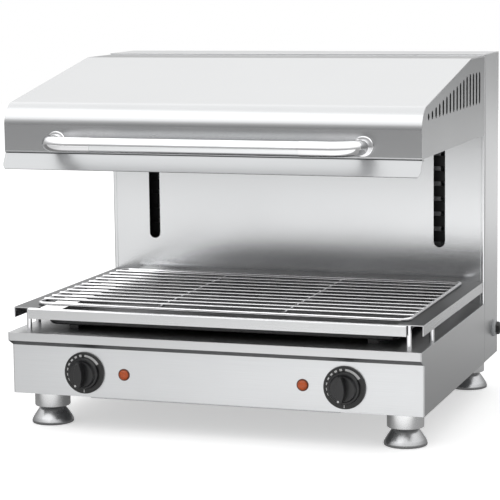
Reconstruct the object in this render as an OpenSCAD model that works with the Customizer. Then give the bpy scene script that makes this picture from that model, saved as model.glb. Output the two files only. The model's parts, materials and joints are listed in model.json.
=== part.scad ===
// Rise-and-fall cheese melter: a stainless base and rear column, a counterbalanced heated hood
// that travels up and down the column, and a wire grid over a drip tray.
// Millimetres. Origin on the floor, under the middle of the casing. +Z up, front towards -Y.

/* [Casing] */
// Width over the side panels
body_w = 600; // [560:10:720]
// Depth of the base, from its front panel to the column
base_d = 384; // [350:2:420]
// Depth of the column
column_d = 96; // [92:2:120]
// Height of the base
base_h = 90; // [84:1:100]
// Height of the column, from the underside of the base
column_h = 465; // [460:1:500]
// Thickness of the casing's sheet steel
sheet_t = 1.5; // [1.2:0.1:2]
// Reach of the deck's lip in front of the front panel
lip_reach = 15; // [10:1:20]
// Height of the lip's front face
lip_h = 12; // [8:1:16]
// Height of the slope under the lip
lip_slope_h = 8; // [6:1:10]
// Radius of the column's front bends
column_bend_r = 3; // [2.5:0.5:5]
// Width of the column sides' folded front edge
column_fold_w = 6; // [5:1:10]
// Height of the folded edges of the bottom plate
bottom_fold_h = 8; // [6:0.5:10]
// Distance of the service cover from the casing's sides
service_side = 117; // [100:1:150]
// Depth of the service cover
service_d = 300; // [240:10:320]

/* [Feet] */
// Height from the floor to the underside of the base
foot_h = 50; // [45:1:60]
// Diameter of the collars under the base
collar_d = 51; // [45:1:55]
// Height of the collars
collar_h = 25; // [20:1:30]
// Diameter of the pads
pad_d = 60; // [54:1:66]
// Height of the pads' rim
pad_rim_h = 4.5; // [3:0.5:6]
// Diameter of the pads' neck
pad_neck_d = 25; // [22:1:30]
// Diameter of the adjusting stems
stem_d = 12; // [10:1:14]
// Distance of the feet from the casing's sides
foot_side = 38; // [32:1:60]
// Distance of the front feet behind the front panel
front_foot_y = 48; // [40:1:70]
// Distance of the rear feet in front of the column's back
rear_foot_y = 40; // [35:1:80]

/* [Hood] */
// Clearance from the hood's ends to the width of the casing
hood_inset = 1; // [0.5:0.5:3]
// Height of the hood
hood_h = 119; // [116:1:122]
// Reach of the hood's face in front of the front panel
hood_reach = 10; // [6:1:14]
// Height of the hood's front corner above its underside, before bending
hood_face_h = 65; // [55:1:75]
// Drop of the hood's top below the top of the column
hood_drop = 2; // [1:1:6]
// Depth of the flat at the back of the hood's top
hood_flat_d = 92; // [80:2:110]
// Radius of the hood's front bend
hood_bend_r = 31; // [20:1:36]
// Radius of the bend between the slope and the flat
hood_ridge_r = 8; // [5:1:12]
// Gap between the hood and the column
hood_gap = 2; // [1.5:0.5:4]
// Width of the hood's folded edges
hood_fold_w = 12; // [8:1:20]
// Downward travel of the hood
hood_travel = 170; // [120:5:172]
// Flare of the deflector below the hood's face
deflector_flare = 12; // [8:1:16]
// Height of the deflector
deflector_h = 21; // [16:1:24]
// Radius of the deflector's lower corners
deflector_corner_r = 11; // [6:1:14]

/* [Vents] */
// Number of slots on each side of the hood
vent_count = 16; // [8:1:16]
// Width of a slot
vent_w = 9; // [5:0.5:10]
// Distance from slot to slot
vent_pitch = 21.3; // [19:0.1:21.5]
// Distance of the first slot behind the front panel
vent_first_y = 27.3; // [26:0.1:34]
// Height of the slots' lower ends above the hood's underside
vent_low_h = 50; // [46:1:52]
// Height of the first slot's upper end above the hood's underside
vent_first_h = 58; // [57:0.5:60]
// Rise of the upper ends from slot to slot
vent_rise = 3.35; // [3:0.05:3.6]
// Height of the tallest slots' upper ends above the hood's underside
vent_high_h = 97; // [90:1:100]

/* [Handle] */
// Diameter of the handle's middle tube
handle_d = 20; // [16:0.5:22]
// Diameter of the polished end bends
elbow_d = 20.6; // [17:0.2:23]
// Distance of the handle's legs from the casing's sides
handle_side = 80; // [60:1:100]
// Distance of the bar's axis in front of the hood's face
handle_reach = 50; // [45:1:60]
// Height of the handle above the hood's underside
handle_h = 17.5; // [16:0.5:22]
// Radius of the end bends
elbow_r = 33; // [26:1:38]
// Length of each end bend along the bar, from its leg
elbow_run = 73; // [60:1:90]
// Diameter of the rosettes at the hood's face
rosette_d = 28; // [26:1:32]
// Thickness of the rosettes
rosette_t = 3; // [2:0.5:5]

/* [Lift] */
// Distance of the column's slots from the casing's sides
slot_side = 70; // [62:1:85]
// Width of the slots
slot_w = 17.5; // [14:0.5:20]
// Gap under the lift arms in the slots, with the hood at its lowest
slot_low_gap = 6; // [3:1:10]
// Gap over the lift arms in the slots, with the hood at its highest
slot_high_gap = 12; // [6:1:14]
// Thickness of the hood's lift arms
arm_t = 8; // [5:1:10]
// Height of the lift arms
arm_h = 50; // [40:1:54]
// Height of the arms' lower edge above the hood's underside
arm_low_h = 6; // [5:1:8]
// Width of the flanges that bolt the arms to the hood
arm_flange_w = 60; // [40:2:80]
// Thickness of the arms' flanges
arm_flange_t = 4; // [3:0.5:6]
// Width of the sliding shoes
shoe_w = 42; // [36:1:50]
// Depth of the sliding shoes
shoe_d = 24; // [20:1:26]
// Height of the sliding shoes
shoe_h = 60; // [56:1:62]
// Drop of the shoes below the arms' lower edge
shoe_drop = 4; // [3:0.5:6]
// Running gap round the shoes
shoe_gap = 0.4; // [0.2:0.1:0.8]
// Thickness of the guide channels
channel_t = 2; // [1.5:0.5:3]
// Reach of the channels below the shoes, with the hood at its lowest
channel_low_gap = 11; // [6:1:20]
// Reach of the channels above the shoes, with the hood at its highest
channel_high_gap = 5; // [2:1:6]
// Width of the windows punched in the channels
window_w = 29; // [16:1:32]
// Height of the windows
window_h = 7; // [5:0.5:10]
// Distance from window to window
window_pitch = 23; // [18:1:30]
// Diameter of the lift cables
cable_d = 3; // [2:0.5:4]
// Radius of the pulleys at the cable's centre
pulley_r = 20; // [18:0.5:21]
// Height of the pulleys' rims beyond the cable's centre
pulley_rim = 2.5; // [2:0.5:3]
// Thickness of the pulleys
pulley_t = 10; // [8:1:14]
// Diameter of the pulleys' axle pins
axle_d = 8; // [6:1:10]
// Running clearance of a pulley on its pin, on the radius
axle_gap = 0.05; // [0.02:0.01:0.1]
// Thickness of the pulley brackets
bracket_t = 2; // [1.5:0.5:3]
// Distance of the counterweight's ends outside its cables
weight_overhang = 5; // [4:1:10]
// Depth of the counterweight
weight_d = 44; // [36:1:46]
// Height of the counterweight
weight_h = 75; // [60:1:80]
// Height of the counterweight at rest above the underside of the base
weight_low_h = 18; // [16:1:24]
// Distance of the counterweight's guide rods inside its cables
guide_step = 50; // [40:1:80]
// Diameter of the guide rods
guide_d = 8; // [6:1:10]
// Clearance of the counterweight round its guide rods, on the radius
guide_gap = 0.5; // [0.3:0.1:1]

/* [Heating] */
// Number of straight runs in each heating element
element_runs = 6; // [4:2:6]
// Diameter of the heating elements
element_d = 8; // [6.5:0.5:10]
// Distance of an element's inner run from the middle
element_inner_x = 32; // [26:1:36]
// Distance of an element's outer run from the casing's side
element_side = 48; // [40:1:60]
// Height of the elements above the hood's underside
element_h = 18; // [15:1:20]
// Depth of the reflector pan
reflector_h = 34; // [30:1:38]
// Thickness of the reflector
reflector_t = 1; // [0.8:0.1:1.5]
// Thickness of the element holders
holder_t = 1.5; // [1:0.5:3]
// Distance of the front holders behind the elements' front bends
holder_front = 70; // [50:5:90]
// Distance of the rear holders in front of the elements' rear bends
holder_rear = 50; // [40:5:80]

/* [Controls] */
// Distance of the knobs from the casing's sides
knob_side = 110; // [90:1:130]
// Height of the knobs above the underside of the base
knob_h = 34.5; // [33:0.5:38]
// Diameter of the dial rings
dial_d = 59; // [50:1:62]
// Thickness of the dial rings
dial_t = 4; // [3:0.5:6]
// Bevel round the dial rings
dial_bevel = 1; // [0.5:0.5:2]
// Diameter of the knobs' skirts
skirt_d = 46; // [40:1:48]
// Thickness of the knobs' skirts
skirt_t = 5; // [3:0.5:8]
// Diameter of the knobs' bodies
knob_d = 38; // [32:1:40]
// Height of the knobs' bodies above their skirts
knob_body_t = 5; // [3:0.5:8]
// Taper of the skirts and bodies, on the diameter
knob_taper = 3; // [1:0.5:4]
// Reach of the knobs in front of the front panel
knob_reach = 27; // [22:1:32]
// Width of the knobs' grips in the middle
grip_w = 12; // [9:0.5:16]
// Width of the grips at their ends
grip_end_w = 4; // [3:0.5:8]
// Diameter of the regulators' spindles
spindle_d = 6; // [5:0.5:8]
// Diameter of the regulators' threaded bushes
bush_d = 10; // [9:0.5:12]
// Width of the regulators' housings
regulator_w = 46; // [40:1:48]
// Depth of the regulators' housings
regulator_d = 34; // [28:1:44]
// Distance of each lamp from its knob
lamp_step = 59.5; // [50:0.5:80]
// Height of the lamps above the underside of the base
lamp_h = 34.6; // [30:0.2:40]
// Diameter of the lamp lenses
lens_d = 14.3; // [10:0.1:16]
// Diameter of the lamps' bezels
bezel_d = 17; // [16.5:0.5:20]
// Thickness of the lamps' bezels
bezel_t = 1; // [0.5:0.5:2]
// Height of the lamp lenses above their bezels
lens_h = 3; // [2:0.5:5]
// Length of the lamps behind the front panel
lamp_l = 30; // [20:1:40]

/* [Grid and tray] */
// Height of the rails above the deck
rail_h = 33.5; // [31:0.5:36]
// Width of the rails' top
rail_w = 36; // [32:1:40]
// Height of the rails' outer flange
rail_flange_h = 15; // [12:1:18]
// Distance of the rails inside the casing's sides
rail_side = 2; // [1:0.5:8]
// Height of the front bar's face
bar_h = 13.5; // [10:0.5:15]
// Depth and height of the bevel at the front bar's top
bar_bevel = 2; // [1:0.5:3]
// Distance of the front bar's ends inside the rails' outer faces
bar_inset = 23; // [18:1:30]
// Diameter of the posts under the rails
post_d = 7; // [5:0.5:8]
// Distance of the second posts behind the front panel
post_second_y = 73; // [50:1:120]
// Diameter of the grid's outer wire
frame_wire_d = 5; // [4:0.5:6]
// Diameter of the grid's cross wires
cross_wire_d = 4; // [3:0.5:4.5]
// Number of cross wires
cross_wires = 11; // [7:1:14]
// Distance of the grid's side wires inside the rails' outer faces
grid_inset = 26; // [18:1:30]
// Distance of the grid's front wire behind the front panel
grid_y = 26; // [20:1:32]
// Distance of the grid's rear wire in front of the column
grid_rear_y = 32; // [20:1:50]
// Radius of the grid's corners
grid_corner_r = 12; // [8:1:24]
// Distance of the two long stays from the middle
stay_x = 92; // [60:2:140]
// Distance of the drip tray's rim inside the rails' outer faces
tray_inset = 33; // [29:1:50]
// Distance of the drip tray behind the front panel
tray_front_y = 20; // [18:1:30]
// Distance of the drip tray in front of the column
tray_rear_y = 18; // [10:1:40]
// Height of the drip tray
tray_h = 10.5; // [9:0.5:11]
// Inward slope of the tray's walls
tray_slope = 5; // [3:0.5:8]
// Thickness of the tray's sheet
tray_t = 0.8; // [0.6:0.1:1.2]
// Width of the tray's rim
tray_rim_w = 5; // [3:1:8]
// Height of the runners under the tray
runner_h = 6; // [5:0.5:7]
// Width of the runners
runner_w = 14; // [10:1:20]
// Distance of the runners inside the drip tray's rim
runner_inset = 45; // [30:1:80]

/* [Supply] */
// Height of the cable gland above the underside of the base
gland_h = 42; // [38:1:80]
// Distance of the gland in front of the column's back
gland_y = 29; // [24:1:40]
// Diameter of the gland's flange
gland_d = 26; // [24:1:32]
// Thickness of the gland's flange
gland_t = 5; // [2:0.5:6]
// Diameter of the gland's sleeve
gland_sleeve_d = 16; // [15:0.5:18]
// Diameter of the cable entry
gland_bore_d = 10; // [8:0.5:11]
// Diameter of the gland's clamping nut
gland_nut_d = 20; // [18:1:24]
// Length of the clamping nut
gland_nut_l = 6; // [5:0.5:12]
// Length of the gland's sleeve inside the column's side
gland_sleeve_l = 12; // [8:1:20]
// Thickness of the gland's locknut
gland_locknut_t = 5; // [3:0.5:7]
// Width of the terminal block
terminal_w = 60; // [40:2:80]
// Depth and height of the terminal block
terminal_size = 20; // [16:1:30]
// Depth of the terminal block's holes
terminal_hole_h = 8; // [5:1:12]

/* [Hidden] */

$fn = 48;
// Overlap that carries a cut cleanly through a face
cut = 1;
// Gap left between neighbouring pieces that lie loosely together
loose = 0.3;
// Gap under a piece that only rests on another
rest_gap = 0.1;
// Overlap that keeps a thin cut from leaving a skin
sliver = 0.01;
// Gap between a pulley and its bracket, and above its rim
bracket_gap = 1;
// Distances of the reflector from the hood's front sheet and from the arms' flanges
reflector_front_gap = 8;
reflector_rear_gap = 6;
// Distances of the elements' bends from the reflector's walls
element_front_gap = 16;
element_rear_gap = 30;
// Distance of the bar's own posts outside its ends
post_gap = 2;
// Size of the small screws and their distance from the edges
screw_d = 7;
screw_t = 2;
screw_edge = 12;
// Vents in the column's back
back_vents = 12;
back_vent_pitch = 24;
back_vent_h = 60;

front_y = -(base_d + column_d) / 2;
column_y = front_y + base_d;
rear_y = -front_y;
deck_z = foot_h + base_h;
top_z = foot_h + column_h;
panel_h = base_h - lip_h - lip_slope_h;
inner_w = body_w - 2 * sheet_t;

hood_w = body_w - 2 * hood_inset;
hood_front = front_y - hood_reach;
hood_rear = column_y - hood_gap;
hood_top = top_z - hood_drop;
hood_z = hood_top - hood_h;
hood_corner_z = hood_z + hood_face_h;
hood_outline = [[hood_front, hood_z], [hood_rear, hood_z], [hood_rear, hood_top],
    [hood_rear - hood_flat_d, hood_top], [hood_front, hood_corner_z]];
hood_radii = [0, 0, 0, hood_ridge_r, hood_bend_r];
hood_back_y = hood_rear - 2 * sheet_t;

slot_x = body_w / 2 - slot_side;
arm_z = hood_z + arm_low_h;
slot_z = arm_z - hood_travel - slot_low_gap;
slot_h = arm_h + hood_travel + slot_low_gap + slot_high_gap;
shoe_y = column_y + sheet_t + shoe_gap;
shoe_z = arm_z - shoe_drop;
channel_z = shoe_z - hood_travel - channel_low_gap;
channel_top = shoe_z + shoe_h + channel_high_gap;
channel_w = shoe_w + 2 * (shoe_gap + channel_t);
channel_web_y = shoe_y + shoe_d + shoe_gap;
cable_y = shoe_y + shoe_d / 2;
pulley_y = cable_y + pulley_r;
pulley_rim_r = pulley_r + pulley_rim;
pulley_z = top_z - sheet_t - bracket_t - pulley_rim_r - 2 * bracket_gap;
weight_y = pulley_y + pulley_r;
weight_z = foot_h + weight_low_h;
weight_w = 2 * (slot_x + weight_overhang);
guide_x = slot_x - guide_step;

reflector_w = hood_w - 2 * sheet_t;
reflector_y = hood_front + sheet_t + reflector_front_gap;
reflector_rear = hood_back_y - arm_flange_t - reflector_rear_gap;
reflector_z = hood_z + sheet_t;
element_z = hood_z + element_h;
element_front = reflector_y + element_front_gap;
element_rear = reflector_rear - element_rear_gap;
element_reach = body_w / 2 - element_side - element_inner_x;
element_pitch = floor(4 * element_reach / (element_runs - 1)) / 4;

foot_x = body_w / 2 - foot_side;
service_w = body_w - 2 * service_side;
knob_x = body_w / 2 - knob_side;
lamp_x = knob_x - lamp_step;
knob_z = foot_h + knob_h;
lamp_z = foot_h + lamp_h;
rail_top = deck_z + rail_h;
rail_x = body_w / 2 - rail_side;
rail_y = front_y + sheet_t + bar_bevel;
bar_w = 2 * (rail_x - bar_inset);
wire_z = rail_top + rest_gap + frame_wire_d / 2;
grid_front = front_y + grid_y;
grid_w = 2 * (rail_x - grid_inset);
grid_d = base_d - grid_y - grid_rear_y;
runner_top = deck_z + runner_h;
tray_y = front_y + tray_front_y;
tray_w = 2 * (rail_x - tray_inset);
tray_d = base_d - tray_front_y - tray_rear_y;
runner_x = tray_w / 2 - runner_inset;
gland_z = foot_h + gland_h;
gland_pos_y = rear_y - gland_y;
side_names = [-1, 1];

steel = "silver";
bright = "gainsboro";
dark = "dimgray";
black = "#1c1c1e";

function unit(v) = v / norm(v);
function turn_left(v) = [-v[1], v[0]];

// Direction of the side of an outline that leaves corner i
function side_from(points, i) = unit(points[(i + 1) % len(points)] - points[i]);

// Direction of the side that arrives at corner i
function side_to(points, i) = side_from(points, (i + len(points) - 1) % len(points));

// Corners of an anticlockwise outline after moving every side inwards by d
function inset(points, d) = [for (i = [0 : len(points) - 1])
    let (a = turn_left(side_to(points, i)), b = turn_left(side_from(points, i)))
    points[i] + d * (a + b) / (1 + a * b)];

// Length that a bend of radius r takes off each side at corner i
function bend_run(points, i, r) =
    let (a = side_to(points, i), b = side_from(points, i))
    r * tan(acos(max(-1, min(1, a * b))) / 2);

// Closed convex outline whose corners have the radii given
module rounded_outline(points, radii) {
    polygon([for (i = [0 : len(points) - 1])
        let (run = bend_run(points, i, radii[i]))
        each radii[i] > 0
            ? [points[i] - run * side_to(points, i), points[i] + run * side_from(points, i)]
            : [points[i]]]);
    for (i = [0 : len(points) - 1])
        if (radii[i] > 0)
            translate(points[i] - bend_run(points, i, radii[i]) * side_to(points, i)
                    + radii[i] * turn_left(side_to(points, i)))
                circle(radii[i]);
}

// Sheet of thickness t just inside a rounded outline
module sheet_outline(points, radii, t) {
    difference() {
        rounded_outline(points, radii);
        rounded_outline(inset(points, t), [for (r = radii) max(0, r - t)]);
    }
}

// Extrudes an outline of depth and height over the width w, centred on x
module across(w, x = 0) {
    translate([x - w / 2, 0, 0]) rotate([90, 0, 90]) linear_extrude(w) children();
}

// Extrudes an outline of width and height over the depth d, backwards from y
module backwards(d, y) {
    translate([0, y + d, 0]) rotate([90, 0, 0]) linear_extrude(d) children();
}

// Cylinder of length l along Y, starting at p
module rod_y(r, l, p) {
    translate(p) rotate([-90, 0, 0]) cylinder(h = l, r = r);
}

// Cylinder of length l along X, starting at p
module rod_x(r, l, p) {
    translate(p) rotate([0, 90, 0]) cylinder(h = l, r = r);
}

// Upright slot with round ends, drawn from its lower end
module slot_outline(w, h) {
    translate([0, w / 2]) circle(w / 2);
    translate([0, h - w / 2]) circle(w / 2);
    if (h > w)
        translate([-w / 2, w / 2]) square([w, h - w]);
}

// Box from its lowest to its highest corner
module block(low, high) {
    translate(low) cube(high - low);
}

// Draws what is made for the right-hand side on the side given: -1 left, 1 right
module on_side(side) {
    if (side < 0)
        mirror([1, 0, 0]) children();
    else
        children();
}

// ---- base ----

module base_front_panel() {
    color(steel) difference() {
        block([-inner_w / 2, front_y, foot_h], [inner_w / 2, front_y + sheet_t, foot_h + panel_h]);
        for (side = side_names) {
            rod_y(bush_d / 2 + loose, sheet_t + 2 * cut, [side * knob_x, front_y - cut, knob_z]);
            rod_y(lens_d / 2 + loose, sheet_t + 2 * cut,
                [side * lamp_x, front_y - cut, lamp_z]);
        }
    }
}

// Outline of the base's end: upright front, slope and lip
function base_end() = [[front_y, foot_h], [column_y, foot_h], [column_y, deck_z],
    [front_y - lip_reach, deck_z], [front_y - lip_reach, deck_z - lip_h],
    [front_y, foot_h + panel_h]];

module base_deck() {
    color(steel) across(inner_w) difference() {
        polygon(base_end());
        polygon(inset(base_end(), sheet_t));
        translate([front_y, foot_h - cut]) square([base_d + cut, panel_h + cut]);
        translate([front_y + sheet_t, foot_h]) square([base_d, base_h - sheet_t]);
    }
}

module base_side(side) {
    color(steel) across(sheet_t, side * (body_w - sheet_t) / 2) polygon(base_end());
}

module base_bottom_plate() {
    low = [-inner_w / 2, front_y + sheet_t, foot_h];
    high = [inner_w / 2, rear_y - sheet_t, foot_h + bottom_fold_h];
    skin = [sheet_t, sheet_t, sheet_t];
    color(steel) difference() {
        block(low, high);
        block(low + skin, high + [-sheet_t, -sheet_t, cut]);
        for (side = side_names)
            translate([side * body_w / 2, column_y, foot_h]) cube([2 * column_fold_w,
                2 * column_bend_r, 3 * bottom_fold_h], center = true);
        foot_positions() cylinder(h = 2 * bottom_fold_h, r = stem_d / 2 + loose, center = true);
    }
}

module service_cover() {
    color(steel) block([-service_w / 2, front_y + sheet_t, foot_h - sheet_t],
        [service_w / 2, front_y + sheet_t + service_d, foot_h]);
}

// ---- feet ----

// Places what follows at each foot, with z = 0 at the underside of the base
module foot_positions() {
    for (x = [-foot_x, foot_x], y = [front_y + front_foot_y, rear_y - rear_foot_y])
        translate([x, y, foot_h]) children();
}

module foot_collars() {
    color(bright) foot_positions() translate([0, 0, -collar_h]) difference() {
        cylinder(h = collar_h, d = collar_d);
        translate([0, 0, -cut]) cylinder(h = collar_h + 2 * cut, r = stem_d / 2 + axle_gap);
    }
}

// Pad with a hollowed flank and its threaded stem
module foot(x, y) {
    flank_h = foot_h - collar_h - pad_rim_h;
    flank_w = (pad_d - pad_neck_d) / 2;
    flank_r = (flank_w * flank_w + flank_h * flank_h) / (2 * flank_w);
    color(bright) translate([x, y, 0]) {
        rotate_extrude() difference() {
            square([pad_d / 2, foot_h - collar_h]);
            translate([pad_neck_d / 2 + flank_r, foot_h - collar_h]) circle(flank_r, $fn = 96);
        }
        translate([0, 0, foot_h - collar_h]) cylinder(h = collar_h + sheet_t, d = stem_d);
    }
}

// ---- column ----

module column_front_panel() {
    w = body_w - 2 * column_fold_w;
    color(steel) backwards(sheet_t, column_y) difference() {
        translate([-w / 2, deck_z - bottom_fold_h]) square([w, top_z - sheet_t - deck_z + bottom_fold_h]);
        for (side = side_names)
            translate([side * slot_x, slot_z]) slot_outline(slot_w, slot_h);
    }
}

// Side of the column, folded round its front and rear edges
module column_side(side) {
    fold = 4 * column_fold_w;
    plan = [[body_w / 2 - fold, column_y], [body_w / 2, column_y], [body_w / 2, rear_y],
        [body_w / 2 - fold, rear_y]];
    color(steel) on_side(side) difference() {
        translate([0, 0, foot_h]) linear_extrude(column_h - sheet_t) difference() {
            sheet_outline(plan, [0, column_bend_r, 0, 0], sheet_t);
            translate([body_w / 2 - fold - cut, column_y - cut])
                square([fold + cut - column_fold_w, column_d - sheet_t + cut]);
            translate([body_w / 2 - fold - cut, rear_y - sheet_t - cut])
                square([fold + cut - sheet_t, sheet_t + 2 * cut]);
        }
        if (side > 0)
            rod_x(gland_sleeve_d / 2 + loose, 4 * sheet_t,
                [body_w / 2 - 2 * sheet_t, gland_pos_y, gland_z]);
    }
}

module column_top_cover() {
    color(steel) across(body_w) rounded_outline([[column_y, top_z - sheet_t],
        [rear_y, top_z - sheet_t], [rear_y, top_z], [column_y, top_z]], [0, 0, 0, 0]);
}

module column_back_cover() {
    color(steel) backwards(sheet_t, rear_y - sheet_t) difference() {
        translate([-inner_w / 2, foot_h]) square([inner_w, column_h - sheet_t]);
        for (i = [0 : back_vents - 1], z = [deck_z, top_z - 2 * back_vent_h])
            translate([(i - (back_vents - 1) / 2) * back_vent_pitch, z])
                slot_outline(vent_w, back_vent_h);
    }
}

// ---- lift ----

// Punched channel behind a slot of the column, in which the hood's shoe slides
module guide_channel(side) {
    windows = floor((channel_top - channel_z - window_h) / window_pitch);
    color(black) translate([side * slot_x, 0, 0]) difference() {
        block([-channel_w / 2, column_y + sheet_t, channel_z],
            [channel_w / 2, channel_web_y + channel_t, channel_top]);
        block([-channel_w / 2 + channel_t, column_y, channel_z - cut],
            [channel_w / 2 - channel_t, channel_web_y, channel_top + cut]);
        for (i = [0 : windows - 1])
            block([-window_w / 2, channel_web_y - cut, channel_z + window_h + i * window_pitch],
                [window_w / 2, channel_web_y + channel_t + cut,
                    channel_z + 2 * window_h + i * window_pitch]);
    }
}

// Two cheeks hung from a plate under the column's top cover, at each slot
module pulley_brackets() {
    inner = pulley_t / 2 + bracket_gap;
    outer = inner + bracket_t;
    plate_z = top_z - sheet_t - bracket_t;
    color(dark) for (side = side_names) translate([side * slot_x, 0, 0]) {
        difference() {
            block([-outer, pulley_y - pulley_rim_r, pulley_z - axle_d],
                [outer, pulley_y + pulley_rim_r, plate_z + bracket_t]);
            block([-inner, pulley_y - pulley_rim_r - cut, pulley_z - axle_d - cut],
                [inner, pulley_y + pulley_rim_r + cut, plate_z]);
            rod_x(axle_d / 2, 4 * outer, [-2 * outer, pulley_y, pulley_z]);
        }
    }
}

module pulley_axles() {
    l = pulley_t + 2 * (bracket_gap + 2 * bracket_t);
    color(bright) for (side = side_names)
        rod_x(axle_d / 2, l, [side * slot_x - l / 2, pulley_y, pulley_z]);
}

module pulley(side) {
    groove_r = cable_d / 2 + loose;
    color("beige") translate([side * slot_x, pulley_y, pulley_z]) rotate([0, 90, 0])
        rotate_extrude() difference() {
            translate([axle_d / 2 + axle_gap, -pulley_t / 2])
                square([pulley_rim_r - axle_d / 2 - axle_gap, pulley_t]);
            translate([pulley_r, 0]) circle(groove_r);
            translate([pulley_r, -groove_r]) square([pulley_rim + cut, 2 * groove_r]);
        }
}

module cables_to_hood() {
    low_z = shoe_z + shoe_h;
    color(dark) for (side = side_names)
        translate([side * slot_x, cable_y, low_z]) cylinder(h = pulley_z - low_z, d = cable_d);
}

module cables_over_pulleys() {
    color(dark) for (side = side_names)
        translate([side * slot_x, pulley_y, pulley_z]) rotate([90, 0, 90])
            rotate_extrude(angle = 180) translate([pulley_r, 0]) circle(cable_d / 2);
}

module cables_to_weight() {
    low_z = weight_z + weight_h;
    color(dark) for (side = side_names)
        translate([side * slot_x, weight_y, low_z]) cylinder(h = pulley_z - low_z, d = cable_d);
}

module counterweight() {
    color(dark) difference() {
        block([-weight_w / 2, weight_y - weight_d / 2, weight_z],
            [weight_w / 2, weight_y + weight_d / 2, weight_z + weight_h]);
        for (side = side_names)
            translate([side * guide_x, weight_y, weight_z - cut])
                cylinder(h = weight_h + 2 * cut, r = guide_d / 2 + guide_gap);
    }
}

module weight_guides() {
    color(bright) for (side = side_names)
        translate([side * guide_x, weight_y, foot_h + sheet_t])
            cylinder(h = column_h - 2 * sheet_t, d = guide_d);
}

// Plate that leaves the hood through its back panel and the column's slot
module lift_arms() {
    flange_low = [-arm_flange_w / 2, hood_back_y - arm_flange_t, arm_z];
    flange_high = [arm_flange_w / 2, hood_back_y, arm_z + arm_h];
    color(steel) for (side = side_names) translate([side * slot_x, 0, 0]) {
        block(flange_low, flange_high);
        block([-arm_t / 2, hood_back_y, arm_z], [arm_t / 2, cable_y, arm_z + arm_h]);
    }
}

// Nylon shoes on the arms' ends
module slide_shoes() {
    color("ivory") for (side = side_names) translate([side * slot_x, 0, 0]) difference() {
        block([-shoe_w / 2, shoe_y, shoe_z], [shoe_w / 2, shoe_y + shoe_d, shoe_z + shoe_h]);
        block([-arm_t / 2, shoe_y - cut, arm_z], [arm_t / 2, cable_y, arm_z + arm_h]);
    }
}

// ---- hood ----

// Front, slope and top bent from one sheet, with folded edges below and behind
module hood_shell() {
    color(steel) across(hood_w) difference() {
        sheet_outline(hood_outline, hood_radii, sheet_t);
        translate([hood_front + hood_fold_w, hood_z - cut])
            square([hood_rear - hood_front, sheet_t + cut + sliver]);
        translate([hood_rear - sheet_t - sliver, hood_z - cut])
            square([sheet_t + cut + sliver, hood_top - hood_z - hood_fold_w + cut]);
    }
}

// Height of the upper end of vent slot i
function vent_top(i) = hood_z + min(vent_high_h, vent_first_h + i * vent_rise);

module hood_side(side) {
    low_z = hood_z + vent_low_h;
    color(steel) across(sheet_t, side * (hood_w - sheet_t) / 2) difference() {
        rounded_outline(inset(hood_outline, sheet_t), [for (r = hood_radii) max(0, r - sheet_t)]);
        for (i = [0 : vent_count - 1])
            translate([front_y + vent_first_y + i * vent_pitch, low_z])
                slot_outline(vent_w, max(vent_w, vent_top(i) - low_z));
    }
}

module hood_back_panel() {
    w = hood_w - 2 * sheet_t;
    color(steel) backwards(sheet_t, hood_back_y) difference() {
        translate([-w / 2, hood_z + sheet_t]) square([w, hood_top - hood_z - 2 * sheet_t]);
        for (side = side_names)
            translate([side * slot_x - arm_t / 2, arm_z]) square([arm_t, arm_h]);
    }
}

// Deflector that flares forward from under the hood's face
module hood_deflector() {
    run = [-deflector_flare, -deflector_h];
    wall = sheet_t * unit([deflector_h, -deflector_flare]);
    start = [hood_front + sheet_t, hood_z];
    color(steel) intersection() {
        across(hood_w) {
            polygon([start, start + run, start + run + wall, start + wall]);
            polygon([start, start + [wall[0], -sheet_t], start + [hood_fold_w, -sheet_t],
                start + [hood_fold_w, 0]]);
        }
        backwards(4 * hood_fold_w, hood_front - 2 * hood_fold_w)
            rounded_outline([[-hood_w / 2, hood_z - deflector_h - 2 * sheet_t],
                [hood_w / 2, hood_z - deflector_h - 2 * sheet_t], [hood_w / 2, hood_z],
                [-hood_w / 2, hood_z]], [deflector_corner_r, deflector_corner_r, 0, 0]);
    }
}

module reflector() {
    low = [-reflector_w / 2, reflector_y, reflector_z];
    high = [reflector_w / 2, reflector_rear, reflector_z + reflector_h];
    color(bright) difference() {
        block(low, high);
        block(low + [reflector_t, reflector_t, -cut], high - [reflector_t, reflector_t, reflector_t]);
        for (x = element_ends())
            rod_y(element_d / 2 + loose, 4 * reflector_t, [x, reflector_rear - 2 * reflector_t,
                element_z]);
    }
}

// Places across the width where an element's tails leave the reflector, on both sides
function element_ends() = [for (side = side_names, i = [0, element_runs - 1])
    side * (element_inner_x + i * element_pitch)];

// Serpentine tubular element of one heating zone
module element(side) {
    bend_r = element_pitch / 2;
    front = element_front + bend_r;
    color("#5a5552") on_side(side) {
        for (i = [0 : element_runs - 1]) {
            is_tail = i == 0 || i == element_runs - 1;
            rear = is_tail ? hood_back_y - arm_flange_t - 1 : element_rear;
            rod_y(element_d / 2, rear - front, [element_inner_x + i * element_pitch, front, element_z]);
        }
        for (i = [0 : 2 : element_runs - 2])
            translate([element_inner_x + (i + 0.5) * element_pitch, front, element_z])
                rotate([0, 0, 180]) rotate_extrude(angle = 180)
                    translate([bend_r, 0]) circle(element_d / 2);
        for (i = [1 : 2 : element_runs - 2])
            translate([element_inner_x + (i + 0.5) * element_pitch, element_rear, element_z])
                rotate_extrude(angle = 180) translate([bend_r, 0]) circle(element_d / 2);
    }
}

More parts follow.
